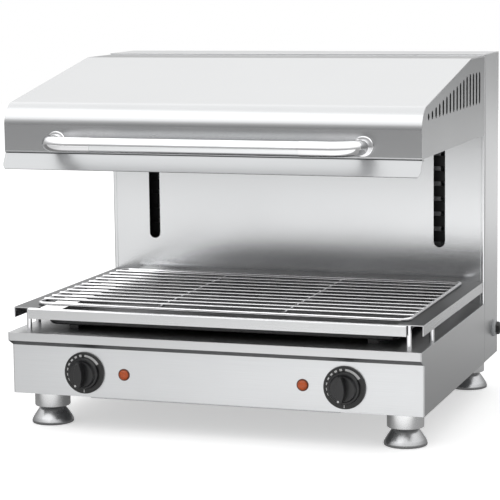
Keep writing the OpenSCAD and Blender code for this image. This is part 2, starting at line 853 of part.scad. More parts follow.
// Strips under the reflector that the elements run through
module element_holders() {
    run_w = (element_runs - 1) * element_pitch;
    margin = element_d;
    low_z = element_z - element_d;
    high_z = reflector_z + reflector_h - reflector_t;
    color(steel) for (side = side_names,
            y = [element_front + holder_front, element_rear - holder_rear])
        on_side(side) difference() {
            block([element_inner_x - margin, y, low_z],
                [element_inner_x + run_w + margin, y + holder_t, high_z]);
            for (i = [0 : element_runs - 1])
                rod_y(element_d / 2 + loose, holder_t + 2 * cut,
                    [element_inner_x + i * element_pitch, y - cut, element_z]);
        }
}

// ---- handle ----

handle_z = hood_z + handle_h;
handle_y = hood_front - handle_reach;
handle_x = body_w / 2 - handle_side;
bend_end_x = handle_x - elbow_run;

module handle_bar() {
    color(bright) rod_x(handle_d / 2, 2 * bend_end_x, [-bend_end_x, handle_y, handle_z]);
}

// Rosette, leg, quarter bend and straight end in one
module handle_bend(side) {
    color(bright) on_side(side) {
        rod_y(rosette_d / 2, rosette_t, [handle_x, hood_front - rosette_t, handle_z]);
        rod_y(elbow_d / 2, handle_reach - elbow_r, [handle_x, handle_y + elbow_r, handle_z]);
        translate([handle_x - elbow_r, handle_y + elbow_r, handle_z]) rotate([0, 0, -90])
            rotate_extrude(angle = 90) translate([elbow_r, 0]) circle(elbow_d / 2);
        rod_x(elbow_d / 2, elbow_run - elbow_r, [bend_end_x, handle_y, handle_z]);
    }
}

// ---- controls ----

module regulator(side) {
    body_y = front_y + sheet_t;
    bush_l = dial_t - dial_bevel;
    color("ivory") translate([side * knob_x, 0, knob_z]) difference() {
        union() {
            block([-regulator_w / 2, body_y, -regulator_w / 2],
                [regulator_w / 2, body_y + regulator_d, regulator_w / 2]);
            rod_y(bush_d / 2, sheet_t + bush_l, [0, front_y - bush_l, 0]);
        }
        rod_y(spindle_d / 2 + axle_gap, regulator_d + dial_t, [0, front_y - 2 * dial_t, 0]);
    }
}

// Fixed ring round a knob, which carries the dial
module dial_ring(side) {
    color(black) translate([side * knob_x, front_y, knob_z]) rotate([90, 0, 0]) difference() {
        union() {
            cylinder(h = dial_t - dial_bevel, d = dial_d);
            translate([0, 0, dial_t - dial_bevel])
                cylinder(h = dial_bevel, d1 = dial_d, d2 = dial_d - 2 * dial_bevel);
        }
        translate([0, 0, -cut]) cylinder(h = dial_t + 2 * cut, r = bush_d / 2 + loose);
    }
}

// Outline of a knob's upright grip, widest in the middle
module grip_outline() {
    bow = (grip_w - grip_end_w) / 2;
    bow_r = (knob_d * knob_d / 4 + bow * bow) / (2 * bow);
    intersection() {
        circle((knob_d - knob_taper) / 2);
        translate([grip_w / 2 - bow_r, 0]) circle(bow_r, $fn = 144);
        translate([bow_r - grip_w / 2, 0]) circle(bow_r, $fn = 144);
    }
}

// Knob with a skirt, a round body and a tapered grip across it, on its spindle
module knob(side) {
    skirt_z = dial_t + loose;
    body_z = skirt_z + skirt_t;
    spindle_l = sheet_t + regulator_d / 2;
    color(black) translate([side * knob_x, front_y, knob_z]) rotate([90, 0, 0]) {
        translate([0, 0, skirt_z]) cylinder(h = skirt_t, d1 = skirt_d, d2 = skirt_d - knob_taper);
        translate([0, 0, body_z]) cylinder(h = knob_body_t, d1 = knob_d, d2 = knob_d - knob_taper);
        translate([0, 0, body_z]) linear_extrude(knob_reach - body_z) grip_outline();
        translate([0, 0, -spindle_l]) cylinder(h = skirt_z + spindle_l, d = spindle_d);
    }
}

module lamp(side) {
    color("orangered") translate([side * lamp_x, front_y, lamp_z]) rotate([90, 0, 0]) {
        cylinder(h = bezel_t, d = bezel_d);
        translate([0, 0, bezel_t]) cylinder(h = lens_h, d1 = lens_d, d2 = lens_d - lens_h);
        translate([0, 0, -lamp_l]) cylinder(h = lamp_l, d = lens_d);
    }
}

module terminal_block() {
    poles = 5;
    pole_w = terminal_w / poles;
    corner = [body_w / 4 - terminal_w, column_y, foot_h + sheet_t];
    color("ivory") translate(corner) difference() {
        cube([terminal_w, terminal_size, terminal_size]);
        for (i = [0 : poles - 1])
            translate([(i + 0.5) * pole_w, terminal_size / 2, terminal_size - terminal_hole_h])
                cylinder(h = terminal_hole_h + cut, d = pole_w / 2);
    }
}

// Flanged sleeve through the column's side, with its locknut inside
module cable_gland() {
    inner_l = sheet_t + gland_sleeve_l;
    color("lightgray") translate([body_w / 2, gland_pos_y, gland_z]) difference() {
        union() {
            rod_x(gland_d / 2, gland_t, [0, 0, 0]);
            rod_x(gland_sleeve_d / 2, inner_l, [-inner_l, 0, 0]);
            rod_x(gland_d / 2, gland_locknut_t, [-sheet_t - gland_locknut_t, 0, 0]);
        }
        rod_x(gland_bore_d / 2, inner_l + gland_t + 2 * cut, [-inner_l - cut, 0, 0]);
    }
}

module gland_nut() {
    chamfer = gland_nut_l / 4;
    flat_l = gland_nut_l - chamfer;
    color(black) translate([body_w / 2 + gland_t, gland_pos_y, gland_z]) rotate([0, 90, 0])
        difference() {
            union() {
                cylinder(h = flat_l, d = gland_nut_d, $fn = 6);
                translate([0, 0, flat_l]) cylinder(h = chamfer, d1 = gland_nut_d - 2 * chamfer,
                    d2 = gland_nut_d - 4 * chamfer);
            }
            translate([0, 0, -cut]) cylinder(h = gland_nut_l + 2 * cut, r = gland_bore_d / 2);
        }
}

// ---- grid and tray ----

module grid_rail(side) {
    color(steel) on_side(side) {
        block([rail_x - rail_w, rail_y, rail_top - sheet_t], [rail_x, column_y, rail_top]);
        block([rail_x - sheet_t, rail_y, rail_top - rail_flange_h],
            [rail_x, column_y, rail_top]);
    }
}

module grid_front_bar() {
    top = rail_top - loose;
    low = top - bar_bevel - bar_h;
    color(steel) across(bar_w) polygon([[front_y, low], [front_y + sheet_t, low],
        [front_y + sheet_t, top - bar_bevel - sheet_t / 2], [rail_y, top - sheet_t],
        [rail_y, top], [front_y + bar_bevel, top], [front_y, top - bar_bevel]]);
}

module grid_posts() {
    h = rail_h - sheet_t;
    outer_x = rail_x - sheet_t - post_d / 2 - loose;
    places = [[bar_w / 2 + post_gap, rail_y + (post_d + post_gap) / 2],
        [outer_x, front_y + post_second_y]];
    color(bright) for (side = side_names, p = places)
        translate([side * p[0], p[1], deck_z]) cylinder(h = h, d = post_d);
}

module tray_runners() {
    color(black) for (side = side_names)
        block([side * runner_x - runner_w / 2, tray_y + runner_w, deck_z],
            [side * runner_x + runner_w / 2, tray_y + tray_d - runner_w, runner_top]);
}

// Straight wire of diameter d from a to b, in a level plane
module wire(a, b, d) {
    run = b - a;
    translate(a) rotate([0, 0, atan2(run[1], run[0])]) rotate([0, 90, 0])
        cylinder(h = norm(run), d = d);
}

module wire_grid() {
    half_w = grid_w / 2;
    r = grid_corner_r;
    rear = grid_front + grid_d;
    step = grid_d / (cross_wires + 1);
    stay_z = rail_top + rest_gap + cross_wire_d / 2;
    cross_z = stay_z + cross_wire_d * 0.6;
    color(bright) {
        for (y = [grid_front, rear])
            wire([r - half_w, y, wire_z], [half_w - r, y, wire_z], frame_wire_d);
        for (x = [-half_w, half_w])
            wire([x, grid_front + r, wire_z], [x, rear - r, wire_z], frame_wire_d);
        for (turn = [0, 90, 180, 270])
            translate([(turn == 90 || turn == 180 ? -1 : 1) * (half_w - r),
                turn < 180 ? rear - r : grid_front + r, wire_z])
                rotate([0, 0, turn]) rotate_extrude(angle = 90)
                    translate([r, 0]) circle(frame_wire_d / 2);
        for (i = [1 : cross_wires])
            wire([-half_w, grid_front + i * step, cross_z],
                [half_w, grid_front + i * step, cross_z], cross_wire_d);
        for (x = [-stay_x, stay_x])
            wire([x, grid_front, stay_z], [x, rear, stay_z], cross_wire_d);
    }
}

// Sloping box that is w by d at height z, and narrower by the slope below
module tray_form(w, d, low_z, high_z) {
    hull() {
        block([-w / 2, -d / 2, high_z - sliver], [w / 2, d / 2, high_z]);
        block([tray_slope - w / 2, tray_slope - d / 2, low_z],
            [w / 2 - tray_slope, d / 2 - tray_slope, low_z + sliver]);
    }
}

module drip_tray() {
    w = tray_w - 2 * tray_rim_w;
    d = tray_d - 2 * tray_rim_w;
    top = runner_top + tray_h;
    color(dark) translate([0, tray_y + tray_d / 2, 0]) difference() {
        union() {
            tray_form(w, d, runner_top, top);
            block([-tray_w / 2, -tray_d / 2, top - tray_t], [tray_w / 2, tray_d / 2, top]);
        }
        tray_form(w - 2 * tray_t, d - 2 * tray_t, runner_top + tray_t, top + 0.5);
    }
}

// Low domed head of a small screw
module screw() {
    cylinder(h = screw_t, d1 = screw_d, d2 = screw_d - screw_t);
}

module casing_screws() {
    color(bright) {
        for (side = side_names, y = [screw_edge, service_d - screw_edge])
            translate([side * (service_w / 2 - screw_edge), front_y + sheet_t + y, foot_h - sheet_t])
                mirror([0, 0, 1]) screw();
        for (x = [-1, 0, 1], z = [foot_h + screw_edge, top_z - 2 * screw_edge])
            translate([x * (inner_w / 2 - screw_edge), rear_y, z]) rotate([-90, 0, 0]) screw();
    }
}

base_front_panel();
base_deck();
base_side(-1);  // base_side_left
base_side(1);  // base_side_right
base_bottom_plate();
service_cover();
foot_collars();
foot(-foot_x, front_y + front_foot_y);  // foot_front_left
foot(foot_x, front_y + front_foot_y);  // foot_front_right
foot(-foot_x, rear_y - rear_foot_y);  // foot_rear_left
foot(foot_x, rear_y - rear_foot_y);  // foot_rear_right
column_front_panel();
column_side(-1);  // column_side_left
column_side(1);  // column_side_right
column_top_cover();
column_back_cover();
guide_channel(-1);  // guide_channel_left
guide_channel(1);  // guide_channel_right
pulley_brackets();
pulley_axles();
pulley(-1);  // pulley_left
pulley(1);  // pulley_right
cables_to_hood();
cables_over_pulleys();
cables_to_weight();
counterweight();
weight_guides();
regulator(-1);  // regulator_left
regulator(1);  // regulator_right
dial_ring(-1);  // dial_ring_left
dial_ring(1);  // dial_ring_right
knob(-1);  // knob_left
knob(1);  // knob_right
lamp(-1);  // lamp_left
lamp(1);  // lamp_right
terminal_block();
cable_gland();
gland_nut();
grid_rail(-1);  // grid_rail_left
grid_rail(1);  // grid_rail_right
grid_front_bar();
grid_posts();
tray_runners();
wire_grid();
drip_tray();
hood_shell();
hood_side(-1);  // hood_side_left
hood_side(1);  // hood_side_right
hood_back_panel();
hood_deflector();
reflector();
element(-1);  // element_left
element(1);  // element_right
element_holders();
handle_bar();
handle_bend(-1);  // handle_bend_left
handle_bend(1);  // handle_bend_right
lift_arms();
slide_shoes();
casing_screws();
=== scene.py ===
"""Looks of a rise-and-fall cheese melter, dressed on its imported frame. Metres throughout."""

from __future__ import annotations

import json
import logging
import math
from collections.abc import Iterable
from dataclasses import dataclass, field
from enum import Enum

import bmesh
import bpy
from mathutils import Matrix, Vector

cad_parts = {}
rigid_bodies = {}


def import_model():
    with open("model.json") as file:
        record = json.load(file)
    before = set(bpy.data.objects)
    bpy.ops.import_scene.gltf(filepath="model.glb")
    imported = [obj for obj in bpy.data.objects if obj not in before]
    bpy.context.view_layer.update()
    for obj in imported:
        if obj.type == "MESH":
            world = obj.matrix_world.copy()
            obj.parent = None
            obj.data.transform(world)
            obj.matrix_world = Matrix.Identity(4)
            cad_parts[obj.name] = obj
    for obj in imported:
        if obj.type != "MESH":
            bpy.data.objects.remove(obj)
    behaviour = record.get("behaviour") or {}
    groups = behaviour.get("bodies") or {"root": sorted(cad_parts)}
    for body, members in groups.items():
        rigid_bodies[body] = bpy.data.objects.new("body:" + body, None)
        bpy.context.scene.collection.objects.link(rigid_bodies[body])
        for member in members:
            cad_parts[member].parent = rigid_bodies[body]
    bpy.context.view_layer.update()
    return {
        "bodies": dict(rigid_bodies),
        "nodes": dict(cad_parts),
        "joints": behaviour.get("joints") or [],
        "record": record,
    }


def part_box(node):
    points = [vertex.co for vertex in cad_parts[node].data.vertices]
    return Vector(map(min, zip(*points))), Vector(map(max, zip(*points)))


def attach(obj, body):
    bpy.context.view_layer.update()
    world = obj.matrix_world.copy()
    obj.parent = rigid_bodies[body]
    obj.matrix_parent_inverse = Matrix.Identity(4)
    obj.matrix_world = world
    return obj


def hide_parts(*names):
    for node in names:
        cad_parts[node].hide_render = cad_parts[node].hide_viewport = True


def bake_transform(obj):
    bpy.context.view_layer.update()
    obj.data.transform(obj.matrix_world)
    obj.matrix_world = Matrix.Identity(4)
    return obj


LOG = logging.getLogger("cheese_melter")
MM = 0.001
SHARP_ANGLE = math.radians(32)
CORNER_ANGLE = math.radians(60)
FLAT_ANGLE = math.radians(0.6)
CAD_WELD = 0.00001
WELD = 0.000002
TINY = 0.000001
FACING = 0.86
SIDES = {"left": -1.0, "right": 1.0}
FEET = ("foot_front_left", "foot_front_right", "foot_rear_left", "foot_rear_right")
FRAME: dict[str, dict] = {}


class Grain(Enum):
    """Direction in which a sheet was brushed, as the stretch of its lines."""

    ALONG_X = (1.0, 260.0, 260.0)
    ALONG_Y = (260.0, 1.0, 260.0)


class Axis(Enum):
    """Direction that a piece is turned about, swept along or faces."""

    RIGHT = (1.0, 0.0, 0.0)
    LEFT = (-1.0, 0.0, 0.0)
    BACK = (0.0, 1.0, 0.0)
    FRONT = (0.0, -1.0, 0.0)
    UP = (0.0, 0.0, 1.0)
    DOWN = (0.0, 0.0, -1.0)

    @property
    def vector(self) -> Vector:
        """The direction as a vector."""
        return Vector(self.value)


# ---------------------------------------------------------------- materials


def add_node(tree: bpy.types.NodeTree, kind: str, **values: object) -> bpy.types.Node:
    """Adds a shader node and sets what is named.

    Args:
        tree: Tree that gets the node.
        kind: Blender's name for the node's type.
        values: Node settings, or input values by socket name with spaces as underscores.

    Returns:
        The new node.
    """
    node = tree.nodes.new(kind)
    sockets: dict[str, bpy.types.NodeSocket] = {}
    for socket in node.inputs:
        sockets.setdefault(socket.name.lower().replace(" ", "_"), socket)
    for name, value in values.items():
        if hasattr(node, name):
            setattr(node, name, value)
        else:
            sockets[name].default_value = value
    return node


def new_group(name: str, inputs: dict[str, float], outputs: tuple[str, ...]) -> bpy.types.NodeTree:
    """Starts a shader node group with numeric inputs and outputs.

    Args:
        name: Name of the group.
        inputs: Input names with their default values.
        outputs: Output names.

    Returns:
        The group's tree, with nodes named inside and outside for its two ends.
    """
    tree = bpy.data.node_groups.new(name, "ShaderNodeTree")
    for label, value in inputs.items():
        socket = tree.interface.new_socket(label, in_out="INPUT", socket_type="NodeSocketFloat")
        socket.default_value = value
    for label in outputs:
        tree.interface.new_socket(label, in_out="OUTPUT", socket_type="NodeSocketFloat")
    tree.nodes.new("NodeGroupInput").name = "inside"
    tree.nodes.new("NodeGroupOutput").name = "outside"
    return tree


def wire(
    tree: bpy.types.NodeTree, *links: tuple[bpy.types.Node, str | int, bpy.types.Node, str | int],
) -> None:
    """Joins sockets, each link given as a node with its output and a node with its input."""
    for source, output, target, entry in links:
        tree.links.new(source.outputs[output], target.inputs[entry])


def one_minus(tree: bpy.types.NodeTree) -> bpy.types.Node:
    """Adds a node that takes its second input from one."""
    node = add_node(tree, "ShaderNodeMath", operation="SUBTRACT")
    node.inputs[0].default_value = 1.0
    return node


def brushed_group(grain: Grain) -> bpy.types.NodeTree:
    """Returns the group that gives the tone, roughness and height of brushed metal.

    Args:
        grain: Direction of the brushing.
    """
    name = f"brushed_{grain.name.lower()}"
    if name in bpy.data.node_groups:
        return bpy.data.node_groups[name]
    tree = new_group(
        name, {"Fineness": 10.0, "Roughness": 0.3, "Roughness Spread": 0.1, "Tone Spread": 0.1},
        ("Tone", "Roughness", "Height"),
    )
    inside, outside = tree.nodes["inside"], tree.nodes["outside"]
    place = add_node(tree, "ShaderNodeTexCoord")
    stretch = add_node(tree, "ShaderNodeMapping", scale=grain.value)
    lines = add_node(tree, "ShaderNodeTexNoise", detail=3.0, roughness=0.7)
    clouds = add_node(tree, "ShaderNodeTexNoise", scale=7.0, detail=2.0)
    rough = add_node(tree, "ShaderNodeMapRange")
    tone = add_node(tree, "ShaderNodeMapRange", to_max=1.0)
    low = add_node(tree, "ShaderNodeMath", operation="SUBTRACT")
    high = add_node(tree, "ShaderNodeMath", operation="ADD")
    dark = one_minus(tree)
    blend = add_node(tree, "ShaderNodeMix")
    blend.inputs[0].default_value = 0.35
    wire(
        tree,
        (place, "Object", stretch, "Vector"), (place, "Object", clouds, "Vector"),
        (stretch, "Vector", lines, "Vector"), (inside, "Fineness", lines, "Scale"),
        (inside, "Roughness", low, 0), (inside, "Roughness Spread", low, 1),
        (inside, "Roughness", high, 0), (inside, "Roughness Spread", high, 1),
        (inside, "Tone Spread", dark, 1), (lines, "Fac", blend, 2), (clouds, "Fac", blend, 3),
        (blend, 0, rough, "Value"), (blend, 0, tone, "Value"), (low, 0, rough, "To Min"),
        (high, 0, rough, "To Max"), (dark, 0, tone, "To Min"), (tone, "Result", outside, "Tone"),
        (rough, "Result", outside, "Roughness"), (lines, "Fac", outside, "Height"),
    )
    return tree


def grime_group() -> bpy.types.NodeTree:
    """Returns the group that gives faint smudges and specks as a mask and a height."""
    name = "grime"
    if name in bpy.data.node_groups:
        return bpy.data.node_groups[name]
    tree = new_group(name, {"Scale": 30.0, "Amount": 0.2}, ("Mask", "Height"))
    inside, outside = tree.nodes["inside"], tree.nodes["outside"]
    place = add_node(tree, "ShaderNodeTexCoord")
    smudge = add_node(tree, "ShaderNodeTexNoise", detail=4.0, roughness=0.6)
    ramp = add_node(tree, "ShaderNodeMapRange", from_min=0.4, from_max=0.75)
    scaled = add_node(tree, "ShaderNodeMath", operation="MULTIPLY")
    wire(
        tree,
        (place, "Object", smudge, "Vector"), (inside, "Scale", smudge, "Scale"),
        (smudge, "Fac", ramp, "Value"), (ramp, "Result", scaled, 0), (inside, "Amount", scaled, 1),
        (scaled, 0, outside, "Mask"), (smudge, "Fac", outside, "Height"),
    )
    return tree


def put_group(tree: bpy.types.NodeTree, group: bpy.types.NodeTree, **values: float) -> bpy.types.Node:
    """Places a node group in a material's tree with its own input values."""
    node = tree.nodes.new("ShaderNodeGroup")
    node.node_tree = group
    for name, value in values.items():
        node.inputs[name.replace("_", " ").title()].default_value = value
    return node


@dataclass(frozen=True)
class Finish:
    """What all finishes share: a name, a colour, a slot in the record and a Principled shader.

    Attributes:
        name: Name of the material.
        slot: The record's material slot.
        colour: Base colour, linear.
        roughness: Middle roughness.
    """

    name: str
    slot: str
    colour: tuple[float, float, float]
    roughness: float

    def material(self) -> bpy.types.Material:
        """Returns the material, which is made at the first call."""
        name = f"{self.name}_finish"
        found = bpy.data.materials.get(name)
        if found is not None:
            return found
        material = bpy.data.materials.new(name)
        material.use_nodes = True
        shader = material.node_tree.nodes["Principled BSDF"]
        shader.inputs["Base Color"].default_value = (*self.colour, 1.0)
        shader.inputs["Roughness"].default_value = self.roughness
        self.dress(material.node_tree, shader)
        return material

    def dress(self, tree: bpy.types.NodeTree, shader: bpy.types.Node) -> None:
        """Adds the nodes that make this finish what it is."""
        raise NotImplementedError

    def tint(self, tree: bpy.types.NodeTree, shader: bpy.types.Node, tone: bpy.types.NodeSocket) -> None:
        """Feeds the base colour darkened by a tone from 0 to 1."""
        mix = add_node(tree, "ShaderNodeMix", data_type="RGBA", blend_type="MULTIPLY")
        mix.inputs["Factor"].default_value = 1.0
        mix.inputs[6].default_value = (*self.colour, 1.0)
        tree.links.new(tone, mix.inputs[7])
        tree.links.new(mix.outputs[2], shader.inputs["Base Color"])

    def relief(
        self, tree: bpy.types.NodeTree, shader: bpy.types.Node, height: bpy.types.NodeSocket,
        strength: float, distance: float,
    ) -> None:
        """Turns a height into the shader's normal.

        Args:
            tree: Tree of the material.
            shader: Its Principled shader.
            height: Socket that gives the height.
            strength: Strength of the relief, 0 to 1.
            distance: Depth of the relief in metres.
        """
        bump = add_node(tree, "ShaderNodeBump", strength=strength, distance=distance)
        tree.links.new(height, bump.inputs["Height"])
        tree.links.new(bump.outputs["Normal"], shader.inputs["Normal"])

    def mottle(self, tree: bpy.types.NodeTree, shader: bpy.types.Node, scale: float, amount: float) -> None:
        """Darkens the base colour in clouds.

        Args:
            tree: Tree of the material.
            shader: Its Principled shader.
            scale: Fineness of the clouds.
            amount: Share of the colour that they take, 0 to 1.
        """
        cloud = put_group(tree, grime_group(), scale=scale, amount=amount)
        tone = one_minus(tree)
        wire(tree, (cloud, "Mask", tone, 1))
        self.tint(tree, shader, tone.outputs[0])


@dataclass(frozen=True)
class BrushedMetal(Finish):
    """Metal brushed one way, with fine lines in tone, roughness and relief."""

    grain: Grain = Grain.ALONG_X
    fineness: float = 10.0
    tone_spread: float = 0.16
    roughness_spread: float = 0.07
    depth: float = 0.00001

    def dress(self, tree: bpy.types.NodeTree, shader: bpy.types.Node) -> None:
        """Wires the brushed group into the shader."""
        shader.inputs["Metallic"].default_value = 1.0
        lines = put_group(
            tree, brushed_group(self.grain), fineness=self.fineness, roughness=self.roughness,
            roughness_spread=self.roughness_spread, tone_spread=self.tone_spread,
        )
        self.tint(tree, shader, lines.outputs["Tone"])
        wire(tree, (lines, "Roughness", shader, "Roughness"))
        self.relief(tree, shader, lines.outputs["Height"], strength=0.35, distance=self.depth)


@dataclass(frozen=True)
class PolishedMetal(Finish):
    """Polished metal with faint smudges."""

    smudge: float = 0.12

    def dress(self, tree: bpy.types.NodeTree, shader: bpy.types.Node) -> None:
        """Adds smudges to the roughness of plain polished metal."""
        shader.inputs["Metallic"].default_value = 1.0
        grime = put_group(tree, grime_group(), scale=45.0, amount=self.smudge)
        rough = add_node(tree, "ShaderNodeMath", operation="ADD")
        rough.inputs[1].default_value = self.roughness
        wire(tree, (grime, "Mask", rough, 0), (rough, 0, shader, "Roughness"))


@dataclass(frozen=True)
class Moulded(Finish):
    """Moulded or coated surface with a fine texture."""

    texture_scale: float = 900.0
    texture_depth: float = 0.00003
    tone_spread: float = 0.15
    coat: float = 0.0

    def dress(self, tree: bpy.types.NodeTree, shader: bpy.types.Node) -> None:
        """Adds a pebbled relief and slight unevenness of tone."""
        shader.inputs["Coat Weight"].default_value = self.coat
        shader.inputs["Coat Roughness"].default_value = 0.08
        pebble = put_group(tree, grime_group(), scale=self.texture_scale, amount=1.0)
        self.mottle(tree, shader, scale=25.0, amount=self.tone_spread)
        self.relief(tree, shader, pebble.outputs["Height"], strength=0.3, distance=self.texture_depth)


@dataclass(frozen=True)
class Lens(Finish):
    """Tinted plastic with a faint painted glow of its own colour."""

    glow: float = 0.1
    coat: float = 0.25

    def dress(self, tree: bpy.types.NodeTree, shader: bpy.types.Node) -> None:
        """Adds a coat, a mottled tint and the painted glow."""
        shader.inputs["Coat Weight"].default_value = self.coat
        shader.inputs["Coat Roughness"].default_value = 0.05
        # painted glow: the lens emits a little light of its own colour
        shader.inputs["Emission Strength"].default_value = self.glow
        self.mottle(tree, shader, scale=400.0, amount=0.5)
        shader.inputs["Emission Color"].default_value = (*self.colour, 1.0)


# Most steels below are copies of one stainless steel; their base colours, from 0.88 on the column front down
# to 0.33 on the vented sides, are set part by part as painted light and shade.
PANEL_STEEL = BrushedMetal("steel_panel", "brushed_steel", (0.76, 0.77, 0.78), 0.32, tone_spread=0.3)
DECK_STEEL = BrushedMetal("steel_deck", "brushed_steel", (0.64, 0.645, 0.65), 0.3)
COLUMN_STEEL = BrushedMetal("steel_column", "brushed_steel", (0.88, 0.89, 0.9), 0.2)
HOOD_STEEL = BrushedMetal("steel_hood", "brushed_steel", (0.46, 0.465, 0.47), 0.25)
DEFLECTOR_STEEL = BrushedMetal("steel_deflector", "brushed_steel", (0.36, 0.365, 0.37), 0.38)
HANDLE_STEEL = BrushedMetal("steel_handle", "brushed_steel", (0.8, 0.81, 0.82), 0.2)
BACK_STEEL = BrushedMetal("steel_back", "brushed_steel", (0.5, 0.51, 0.52), 0.34)
SIDE_STEEL = BrushedMetal("steel_side", "brushed_steel", (0.55, 0.555, 0.56), 0.34, grain=Grain.ALONG_Y)
VENT_STEEL = BrushedMetal("steel_vent", "brushed_steel", (0.33, 0.335, 0.34), 0.34, grain=Grain.ALONG_Y)
# painted shade: near-black copy of the vent steel for the vents' front-facing walls
VENT_SHADE_STEEL = BrushedMetal("steel_vent_edge", "brushed_steel", (0.06, 0.061, 0.062), 0.45)
RAIL_STEEL = BrushedMetal("steel_rail", "brushed_steel", (0.6, 0.605, 0.61), 0.28, grain=Grain.ALONG_Y)
# painted shade: dark copy of the rail steel for the rails' upward faces
RAIL_TOP_SHADE_STEEL = BrushedMetal(
    "steel_rail_top", "brushed_steel", (0.15, 0.152, 0.155), 0.34, grain=Grain.ALONG_Y,
)
# painted shade: near-black copy of the deck steel for the slope under its lip
LIP_SHADE_STEEL = BrushedMetal("steel_mill", "brushed_steel", (0.12, 0.122, 0.125), 0.45)
PAD_STEEL = PolishedMetal("steel_pad", "polished_steel", (0.38, 0.383, 0.39), 0.24)
BAR_STEEL = BrushedMetal("steel_bar", "brushed_steel", (0.66, 0.665, 0.67), 0.28)
COLLAR_STEEL = BrushedMetal("steel_collar", "polished_steel", (0.84, 0.845, 0.85), 0.22)
BRIGHT_STEEL = PolishedMetal("steel_bright", "polished_steel", (0.66, 0.66, 0.67), 0.16)
ZINC = BrushedMetal("zinc_plate", "galvanised_steel", (0.5, 0.51, 0.53), 0.4, fineness=4.0)
DULL_ZINC = BrushedMetal("zinc_dull", "galvanised_steel", (0.4, 0.405, 0.41), 0.45, fineness=4.0)
ZINC_BRIGHT = PolishedMetal("zinc_bright", "galvanised_steel", (0.6, 0.61, 0.63), 0.25)
POLISHED = PolishedMetal("polished_steel", "polished_steel", (0.78, 0.78, 0.79), 0.06)
WIRE = PolishedMetal("plated_wire", "grid_wire", (0.72, 0.72, 0.73), 0.12)
ROPE = BrushedMetal("steel_rope", "wire_rope", (0.4, 0.4, 0.41), 0.45, fineness=3.0)
SHEATH = BrushedMetal("element_sheath", "element_sheath", (0.2, 0.17, 0.15), 0.5, fineness=3.0)
BLACK_STEEL = Moulded("black_steel", "black_steel", (0.01, 0.01, 0.011), 0.45)
CAST = Moulded("cast_iron", "cast_weight", (0.05, 0.05, 0.052), 0.6, texture_scale=400.0)
NYLON = Moulded("nylon", "nylon", (0.7, 0.67, 0.58), 0.5)
CERAMIC = Moulded("ceramic", "ceramic", (0.75, 0.72, 0.65), 0.35, coat=0.4)
DIAL_BLACK = Moulded("dial_black", "dial_black", (0.01, 0.01, 0.01), 0.42)
DIAL_WHITE = Moulded("dial_white", "dial_black", (0.6, 0.6, 0.6), 0.5, texture_depth=0.00001)
KNOB_BLACK = Moulded("knob_black", "knob_black", (0.01, 0.01, 0.011), 0.3)
AMBER = Lens("amber_lens", "amber_lens", (0.5, 0.075, 0.003), 0.35)
LAMP_BEZEL = Moulded("lamp_bezel", "amber_lens", (0.12, 0.03, 0.012), 0.3)
GLAND_GREY = Moulded("gland_grey", "gland_grey", (0.4, 0.41, 0.42), 0.45)
GLAND_BLACK = Moulded("gland_black", "gland_black", (0.014, 0.014, 0.014), 0.4)
ENAMEL = Moulded("dark_enamel", "dark_enamel", (0.012, 0.012, 0.013), 0.35, coat=0.15)


# ---------------------------------------------------------------- modelling


@dataclass(frozen=True)
class Straight:
    """A straight stretch of a swept tube, of the given length."""

    length: float


@dataclass(frozen=True)
class Bend:
    """A round bend of a swept tube.

    Attributes:
        radius: Radius at the tube's centre.
        angle: Turn in radians.
        towards: Direction of the bend's centre from the tube's.
        steps: Number of rings round the bend.
    """

    radius: float
    angle: float
    towards: Vector
    steps: int = 12


def stand(point: Vector, heading: Vector) -> Matrix:
    """Returns the placing that moves the origin to a point and turns Z to a heading."""
    turn = Axis.UP.vector.rotation_difference(heading)
    return Matrix.Translation(point) @ turn.to_matrix().to_4x4()


